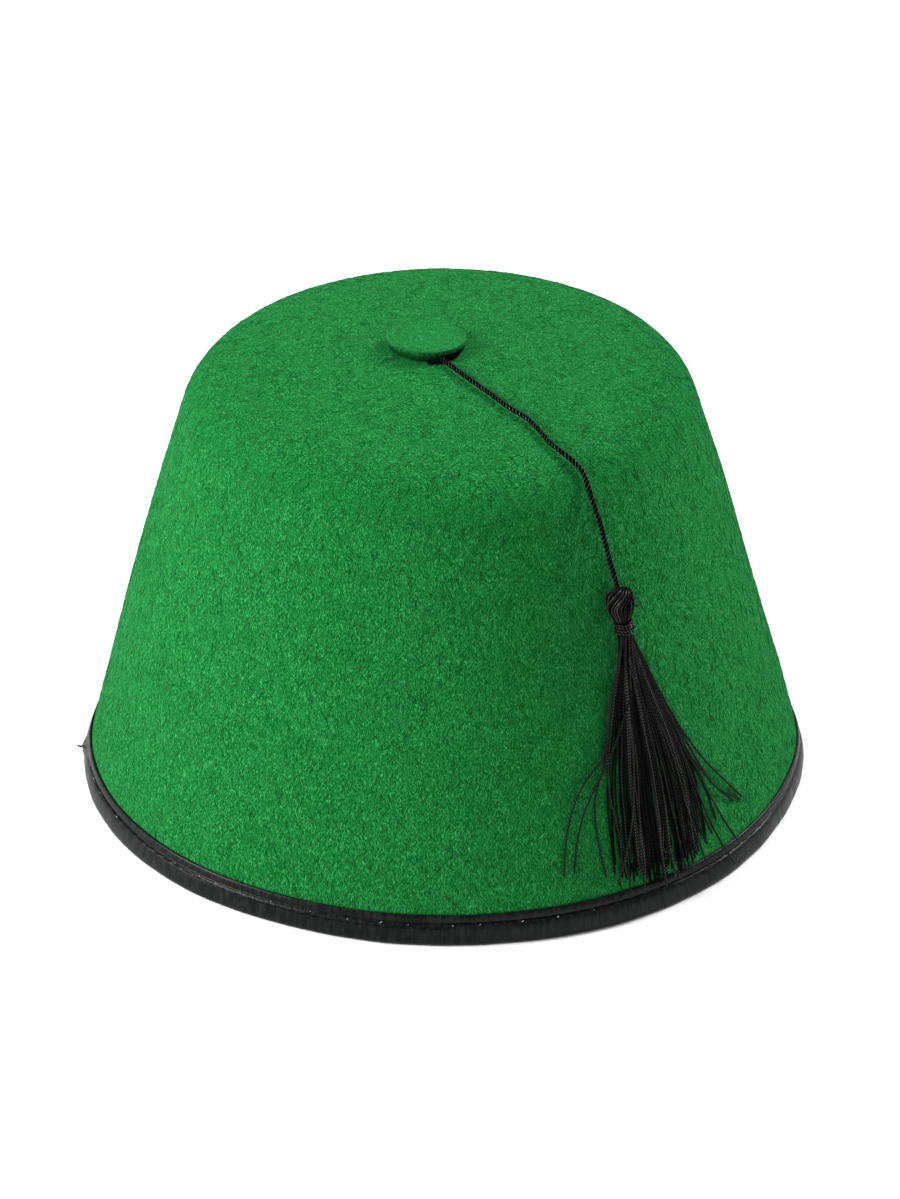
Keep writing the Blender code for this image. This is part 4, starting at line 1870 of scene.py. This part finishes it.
@dataclass
class Tassel:
    """The tassel: a head of threads over a core, a wound neck and a fan of twisted strands."""

    azimuth: float = math.radians(35)
    head_drop: float = 0.0334
    head_radius: float = 0.0038
    head_length: float = 0.0085
    neck_radius: float = 0.0019
    neck_length: float = 0.0040
    wrap_thread: float = 0.00066
    wrap_turns: float = 4.6
    thread: float = 0.00060
    rings: int = 240
    lock_width: float = 0.085
    levels: tuple[float, ...] = (0.0685, 0.0620, 0.0550, 0.0470, 0.0390, 0.0310, 0.0235, 0.0170)
    stray_reach: float = 0.0090
    crossing_share: float = 0.12
    lying_share: float = 0.62
    over_strip: float = 0.0014
    pile: float = 0.0022
    tip_spread: float = 0.0060
    fan_drop: float = 0.0680
    # Each lock's place in the fan, from -1 to 1, and how many strands it has
    locks: tuple[tuple[float, int], ...] = (
        (-0.97, 2), (-0.85, 3), (-0.70, 3), (-0.56, 4), (-0.40, 4), (-0.26, 6), (-0.13, 7), (0.00, 7),
        (0.13, 7), (0.27, 7), (0.41, 7), (0.55, 6), (0.69, 6), (0.83, 5), (0.95, 3),
    )
    front_way: tuple[float, float, float] = (-0.03, -0.86, 0.51)
    # Share of the head's length from its top, and of its radius
    head_outline: tuple[tuple[float, float], ...] = (
        (0.00, 0.46), (0.05, 0.76), (0.17, 0.95), (0.38, 1.00), (0.62, 0.94), (0.84, 0.74),
        (1.00, 0.58),
    )
    # Threads, depth, slant, first angle and spread of each layer over the head
    head_layers: tuple[tuple[int, float, float, float, float], ...] = (
        (34, 0.00036, 0.75, -math.pi, math.tau),
        (26, 0.00085, -0.5, -math.pi, math.tau),
        (9, 0.0, 1.9, -1.7, 1.8),
    )
    # Height of each row of the bulk, and its left and right edges across
    fan: tuple[tuple[float, float, float], ...] = (
        (0.0757, 0.0010, 0.0043), (0.0690, -0.0007, 0.0068), (0.0610, -0.0027, 0.0094),
        (0.0500, -0.0057, 0.0138), (0.0420, -0.0081, 0.0170), (0.0300, -0.0096, 0.0191),
        (0.0200, -0.0097, 0.0196), (0.0070, -0.0100, 0.0200),
    )
    # Place across and height of the lowest tips
    tips: tuple[tuple[float, float], ...] = (
        (-0.0100, 0.0130), (-0.0050, 0.0098), (-0.0014, 0.0087), (0.0046, 0.0072), (0.0122, 0.0076),
        (0.0157, 0.0103), (0.0200, 0.0135),
    )
    strays: tuple[Strand, ...] = (
        Strand(
            (64.9, 60.0, 54.5, 48.0, 39.5, 32.9, 24.7, 16.5),
            (5.0, 2.0, -1.8, -5.8, -12.6, -17.2, -20.5, -22.4),
            0.0016,
            0.2,
        ),
        Strand((60.0, 47.4, 40.8, 34.0, 25.3, 16.2), (-4.8, -9.0, -16.0, -20.5, -23.6, -25.4)),
        Strand((56.0, 44.0, 37.8, 31.0, 22.0, 13.5), (-5.8, -9.6, -12.9, -14.3, -14.2, -13.3)),
        Strand((56.0, 43.6, 36.8, 29.6, 21.5, 10.0), (-5.2, -8.5, -9.2, -8.7, -7.8, -9.7), tone=0.5),
        Strand((56.0, 44.0, 34.0, 28.0, 19.8, 10.7), (1.0, -0.4, -2.0, -3.2, -6.0, -10.2), 0.0012, 0.5),
        Strand((62.0, 51.9, 42.3, 32.4, 17.4), (9.8, 13.9, 18.8, 25.3, 38.2), tone=0.2),
        Strand((60.0, 50.0, 39.8, 26.9, 18.3), (10.2, 14.8, 19.0, 25.9, 34.0), 0.0007, 0.2),
        Strand((60.0, 50.0, 39.0, 25.5, 17.2), (9.6, 14.0, 18.2, 27.0, 37.2), 0.0009, 0.2),
        Strand((60.0, 48.0, 38.5, 29.4, 16.5), (9.4, 14.4, 17.6, 22.4, 25.4), 0.0009, 0.2),
        Strand((60.0, 48.0, 38.5, 29.4, 17.0), (9.0, 13.8, 17.1, 21.7, 25.8), 0.0004, 0.2),
        Strand((58.0, 44.0, 33.0, 26.7, 13.7, 6.7), (9.8, 16.0, 20.5, 23.1, 29.5, 34.0), 0.0007, 0.3),
        Strand((58.0, 44.0, 28.2, 13.7, 2.1), (8.8, 14.6, 19.4, 24.5, 30.7), 0.0007, 0.3),
        Strand((56.0, 40.0, 25.0, 17.4, 8.7, 2.1), (7.5, 12.5, 15.0, 16.8, 19.2, 22.2), 0.0009, 0.4),
        Strand((58.0, 42.0, 25.7, 13.5), (9.2, 15.0, 18.9, 23.2), 0.0006, 0.2),
        Strand((56.0, 40.0, 23.8, 11.9), (8.5, 14.0, 16.5, 20.7), 0.0006, 0.2),
        Strand((56.0, 38.0, 20.0, 7.4), (6.0, 8.5, 10.5, 12.1), 0.001, 0.3),
        Strand((56.0, 38.0, 20.0, 6.0), (3.5, 4.0, 4.6, 4.8), 0.0012, 0.4),
        Strand((56.0, 38.0, 20.0, 6.9), (1.0, 0.0, -1.8, -2.2), 0.0012, 0.4),
        Strand((54.0, 40.0, 26.0, 8.0), (-2.0, -5.0, -5.8, -6.8), 0.0008, 0.3),
    )

    @property
    def top(self) -> float:
        """Height on the side line of the top of the head."""
        return CROWN.height - self.head_drop

    def tassel_point(self, down: Array, out: Array, across: Array) -> Array:
        """Points given from the top of the head: down the side, out of the felt and along the rim.

        Args:
            down: Distances down.
            out: Distances out of the head's axis.
            across: Distances along the rim.

        Returns:
            The points, with the axes last.
        """
        axis = self.head_radius + CROWN.clearance
        height = self.top - down * math.cos(CROWN.slope)
        azimuth = self.azimuth + across / CROWN.side_radius(height)
        return CROWN.on_side(azimuth, height, axis + out)

    def raised_point(self, height: Array, across: Array, standoff: Array) -> Array:
        """Points over places on the felt, raised towards the front view so that they cover those places.

        Args:
            height: Heights of the places.
            across: Distances along the rim.
            standoff: Distances off the side.

        Returns:
            The points, with the axes last.
        """
        azimuth = self.azimuth + across / CROWN.side_radius(height)
        on_felt = CROWN.on_side(azimuth, height, 0 * height)
        way = unit(np.array(self.front_way))
        rise = standoff / np.sum(CROWN.side_out(azimuth) * way, axis=-1)
        return on_felt + way * rise[..., None]

    def build_head(self, finish: Finish) -> Piece:
        """Builds the threads that run over the head's core, slanting near the top.

        Args:
            finish: The thread's material.

        Returns:
            The piece.
        """
        shares = np.array([(0.0, 0.08), (-0.01, 0.26), *self.head_outline])
        outline = smooth_path(shares * (self.head_length, self.head_radius), 56)
        dice = np.random.default_rng(3)
        way = np.linspace(0.0, 1.0, len(outline))[None]
        layers = []
        for count, inset, slant, first, spread in self.head_layers:
            angle = first + np.arange(count)[:, None] * spread / count + dice.normal(0.0, 0.04, (count, 1))
            angle = angle + slant * np.clip(1 - way / 0.62, 0.0, 1.0) ** 1.3
            angle = angle + dice.normal(0.0, 0.10, (count, 1)) * (1 - way)
            depth = inset + dice.uniform(0.0, 0.00014, (count, 1))
            radius = np.maximum(outline[None, :, 1] - depth, 0.00002)
            down = outline[None, :, 0] + 0 * angle
            layers.append(self.tassel_point(down, radius * np.cos(angle), radius * np.sin(angle)))
        paths = np.concatenate(layers)
        middle = self.tassel_point(outline[:, 0] + 0.001, 0 * outline[:, 0], 0 * outline[:, 0])
        out = unit(paths - middle[None])
        # Painted glints strong on a few head threads only
        glint_strengths = dice.uniform(0.0, 1.0, len(paths)) ** 3
        threads = Threads("tassel_head", self.thread / 2, pitch=0.0022, lobe_depth=0.24)
        return threads.build(paths, out, glint_strengths, finish)

    def build_snip(self, finish: Finish) -> Piece:
        """Builds the snipped thread ends that stick out of the head and the neck.

        Args:
            finish: The thread's material.

        Returns:
            The piece.
        """
        down = np.array([[0.0048, 0.0050, 0.0052, 0.0053], [0.0100, 0.0102, 0.0106, 0.0110]])
        reach = np.array([[0.0026, 0.0034, 0.0039, 0.0044], [0.0015, 0.0022, 0.0026, 0.0029]])
        angle = np.array([[0.90, 0.93, 0.97, 1.02], [0.75, 0.85, 0.95, 1.00]])
        rough = self.tassel_point(down, reach * np.cos(angle), reach * np.sin(angle))
        paths = np.stack([smooth_path(path, 12) for path in rough])
        out = np.broadcast_to(UP, paths.shape)
        threads = Threads("tassel_snips", self.thread / 2, tip_taper=0.7)
        return threads.build(paths, out, np.array([0.2, 0.3]), finish)

    def build_core(self, finish: Finish) -> Piece:
        """Builds the dark core inside the head and the neck.

        Args:
            finish: The thread's material.

        Returns:
            The piece.
        """
        down = np.append(np.linspace(0.0004, self.head_length, 14), self.head_length + self.neck_length)
        shares = np.array(self.head_outline)
        radius = np.interp(down, shares[:, 0] * self.head_length, shares[:, 1] * self.head_radius) - 0.0009
        middle = self.tassel_point(down, 0 * down, 0 * down)
        along = np.array([math.cos(self.azimuth), math.sin(self.azimuth), 0.0])
        out = CROWN.side_out(np.array(self.azimuth))
        angle = np.linspace(0.0, math.tau, 12, endpoint=False)[:, None]
        ring = np.cos(angle) * out + np.sin(angle) * along
        rings = [place + ring * max(size, 0.0004) for place, size in zip(middle, radius)]
        piece = piece_from(bridged_form(rings), "tassel_core", finish)
        # No painted glints on the core
        write_attribute(piece, PAINTED_GLINT, np.zeros(len(piece.data.vertices)))
        write_attribute(piece, THREAD_WAY, np.ones((len(piece.data.vertices), 3)))
        return piece

    def build_neck(self, finish: Finish) -> Piece:
        """Builds the turns of thread that tie the neck.

        Args:
            finish: The thread's material.

        Returns:
            The piece.
        """
        turns = np.linspace(0.0, self.wrap_turns, 170)
        angle = math.tau * turns
        radius = self.neck_radius + self.wrap_thread / 2 + 0.0001 * np.sin(angle * 0.37)
        down = self.head_length + 0.0002 + (self.neck_length - 0.0005) * turns / turns[-1]
        down = down + 0.00020 * np.sin(angle + 1.0)
        path = self.tassel_point(down, radius * np.cos(angle), radius * np.sin(angle))
        middle = self.tassel_point(down, 0 * down, 0 * down)
        threads = Threads("neck_winding", self.wrap_thread / 2, pitch=0.0016, sides=8)
        return threads.build(path[None], unit(path - middle)[None], np.array([1.0]), finish)

    def fan_place(self, height: Array, side: Array) -> Array:
        """Places across, from the bulk's left edge (side -1) to its right edge (side 1).

        Args:
            height: Heights.
            side: Places in the fan, from -1 to 1.

        Returns:
            Distances along the rim.
        """
        rows = np.array(self.fan)[::-1]
        left = np.interp(height, rows[:, 0], rows[:, 1])
        right = np.interp(height, rows[:, 0], rows[:, 2])
        return left + (right - left) * (side + 1) / 2

    def rest(self, height: Array) -> Array:
        """Least standoff of a strand's middle from the side line: on the felt, or on the strip."""
        return self.thread / 2 + 0.0001 + self.over_strip * ease((0.0150 - height) / 0.0060)

    def neck_points(self, side: float, depth: float) -> Array:
        """The first points of a strand, inside the winding.

        Args:
            side: The strand's place in the fan, from -1 to 1.
            depth: Its place in the neck, from -1 to 1.

        Returns:
            The points.
        """
        down = self.head_length + np.array([-0.0006, 0.5 * self.neck_length, self.neck_length])
        room = self.neck_radius - self.thread / 2 + 0.0002
        across = room * math.sin(side * 1.4)
        out = room * math.cos(side * 1.4) * depth
        return self.tassel_point(down, out + 0 * down, across + 0 * down)

    def hang(self, height: Array, lying: Array) -> Array:
        """Standoff of a strand that comes down from the neck and lies on the felt lower down.

        Args:
            height: Heights of its points.
            lying: Standoffs of the strand where it lies.

        Returns:
            The standoffs.
        """
        start = self.top - (self.head_length + self.neck_length) * math.cos(CROWN.slope)
        share = (start - height) / (start - self.tips[3][1])
        down = ease(share / self.lying_share)
        return (self.head_radius + CROWN.clearance) * (1 - down) + lying * down

    def bulk_strand(
        self, dice: np.random.Generator, lock: float, member: float, wander: tuple[float, float, float]
    ) -> Array:
        """Middle line of one strand of the bulk.

        Args:
            dice: The random generator.
            lock: The lock's place in the fan, from -1 to 1.
            member: The strand's place in its lock, from -1 to 1.
            wander: How far, how often and from where the lock sways.

        Returns:
            The points.
        """
        width = self.lock_width
        foot = float(np.clip(lock + member * width * 1.3, -1.0, 1.0))
        low = float(np.interp(self.fan_place(np.array(0.009), foot), *np.array(self.tips).T))
        tip = low + self.tip_spread * dice.uniform() ** 2.2
        height = np.array([*self.levels, (self.levels[-1] + tip) / 2, tip])
        share = (self.fan[0][0] - height) / self.fan_drop
        side = lock + member * width * (1.6 - 1.1 * share + 0.7 * share**2)
        side = side + wander[0] * np.sin(math.pi * wander[1] * share + wander[2]) * share
        side = side + dice.normal(0.0, 0.030) * share + dice.normal(0.0, 0.018, len(height)) * share
        if dice.uniform() < self.crossing_share:
            side = side + dice.uniform(-0.35, 0.35) * share
        across = self.fan_place(height, np.clip(side, -1.06, 1.06))
        layer = dice.uniform()
        pile = self.pile * layer * (1 - 0.7 * abs(lock)) * (1 - 0.6 * share)
        standoff = np.maximum(self.hang(height, self.rest(height) + pile), self.rest(height))
        standoff = standoff + dice.normal(0.0, 0.00012, len(height)) ** 2 * 1000.0
        start = self.neck_points(lock + member * width, 2 * layer - 1)
        return smooth_path(np.vstack([start, self.raised_point(height, across, standoff)]), self.rings)

    def stray_strand(self, stray: Strand) -> Array:
        """Middle line of a strand that leaves the bulk.

        Args:
            stray: The strand.

        Returns:
            The points.
        """
        course = smooth_path(np.column_stack([stray.heights, stray.across]) / MILLIMETRES, 14)
        height = course[:, 0]
        share = (height[0] - height) / (height[0] - height[-1])
        lying = self.rest(height) + stray.lift * np.sin(math.pi * (0.15 + 0.80 * share))
        standoff = np.maximum(self.hang(height, lying), self.rest(height))
        side = float(np.clip(stray.across[0] / MILLIMETRES / self.stray_reach, -0.9, 0.9))
        own = np.vstack([self.neck_points(side, 0.7), self.raised_point(height, course[:, 1], standoff)])
        return smooth_path(own, self.rings)

    def strand_paths(self) -> tuple[Array, Array]:
        """Middle lines of all strands and how strongly each one's painted glints show.

        Returns:
            The middle lines and the painted glint strengths.
        """
        dice = np.random.default_rng(17)
        paths = []
        glint_strengths = []
        for lock, strands in self.locks:
            wander = (dice.normal(0.0, 0.06), dice.uniform(0.8, 2.0), dice.uniform(0.0, 3.0))
            for place in range(strands):
                member = 2 * (place + 0.5) / strands - 1
                paths.append(self.bulk_strand(dice, lock, member, wander))
                # Painted glints strong on a few strands only
                glint_strengths.append(dice.uniform() ** 5)
        for stray in self.strays:
            paths.append(self.stray_strand(stray))
            glint_strengths.append(stray.tone)
        return np.stack(paths), np.array(glint_strengths)

    def build_skirt(self, finish: Finish) -> list[Piece]:
        """Builds the strands of the skirt, in two pieces.

        Args:
            finish: The thread's material.

        Returns:
            The pieces.
        """
        paths, glint_strengths = self.strand_paths()
        radial = unit(paths * np.array([1.0, 1.0, 0.0]))
        made = []
        for first, name in enumerate(("tassel_skirt_even", "tassel_skirt_odd")):
            threads = Threads(name, self.thread / 2, pitch=0.0024, lobe_depth=0.14)
            made.append(threads.build(paths[first::2], radial[first::2], glint_strengths[first::2], finish))
        return made

    def build(self, shared: Shared) -> None:
        """Builds the tassel and dresses it.

        Args:
            shared: The shared node groups.
        """
        # The light colours are glints painted on the crests of the skirt's, head's and winding's threads
        thread = ThreadFinish("tassel_thread", light=(0.085, 0.084, 0.074), pitch=0.0018, glint=0.8)
        finish = thread.material(shared)
        first, second = self.build_skirt(finish)
        dress(first, Slot.THREAD, "tassel")
        dress(second, Slot.THREAD)
        crossing = ThreadFinish(
            "head_thread",
            light=(0.070, 0.067, 0.060),
            pitch=0.0030,
            plies=0.0,
            gloss=0.03,
            glint=0.6,
            outer=0.74,
        )
        dress(self.build_head(crossing.material(shared)), Slot.THREAD)
        dress(self.build_snip(finish), Slot.THREAD)
        dress(self.build_core(finish), Slot.THREAD)
        winding = ThreadFinish("winding_thread", light=(0.034, 0.032, 0.028), glint=0.6, outer=0.45)
        dress(self.build_neck(winding.material(shared)), Slot.THREAD, "neck_wrap")


def main() -> None:
    """Builds the studio, the camera and cord first, and then the rest of the hat."""
    logging.basicConfig(level=logging.INFO, format="%(name)s: %(message)s")
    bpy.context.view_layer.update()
    shared = Shared()
    Studio().build()
    TwistedCord().build(shared)
    FeltCrown().build(shared)
    FeltButton().build(shared)
    RimBinding().build(shared)
    Tassel().build(shared)


if __name__ == "__main__":
    main()
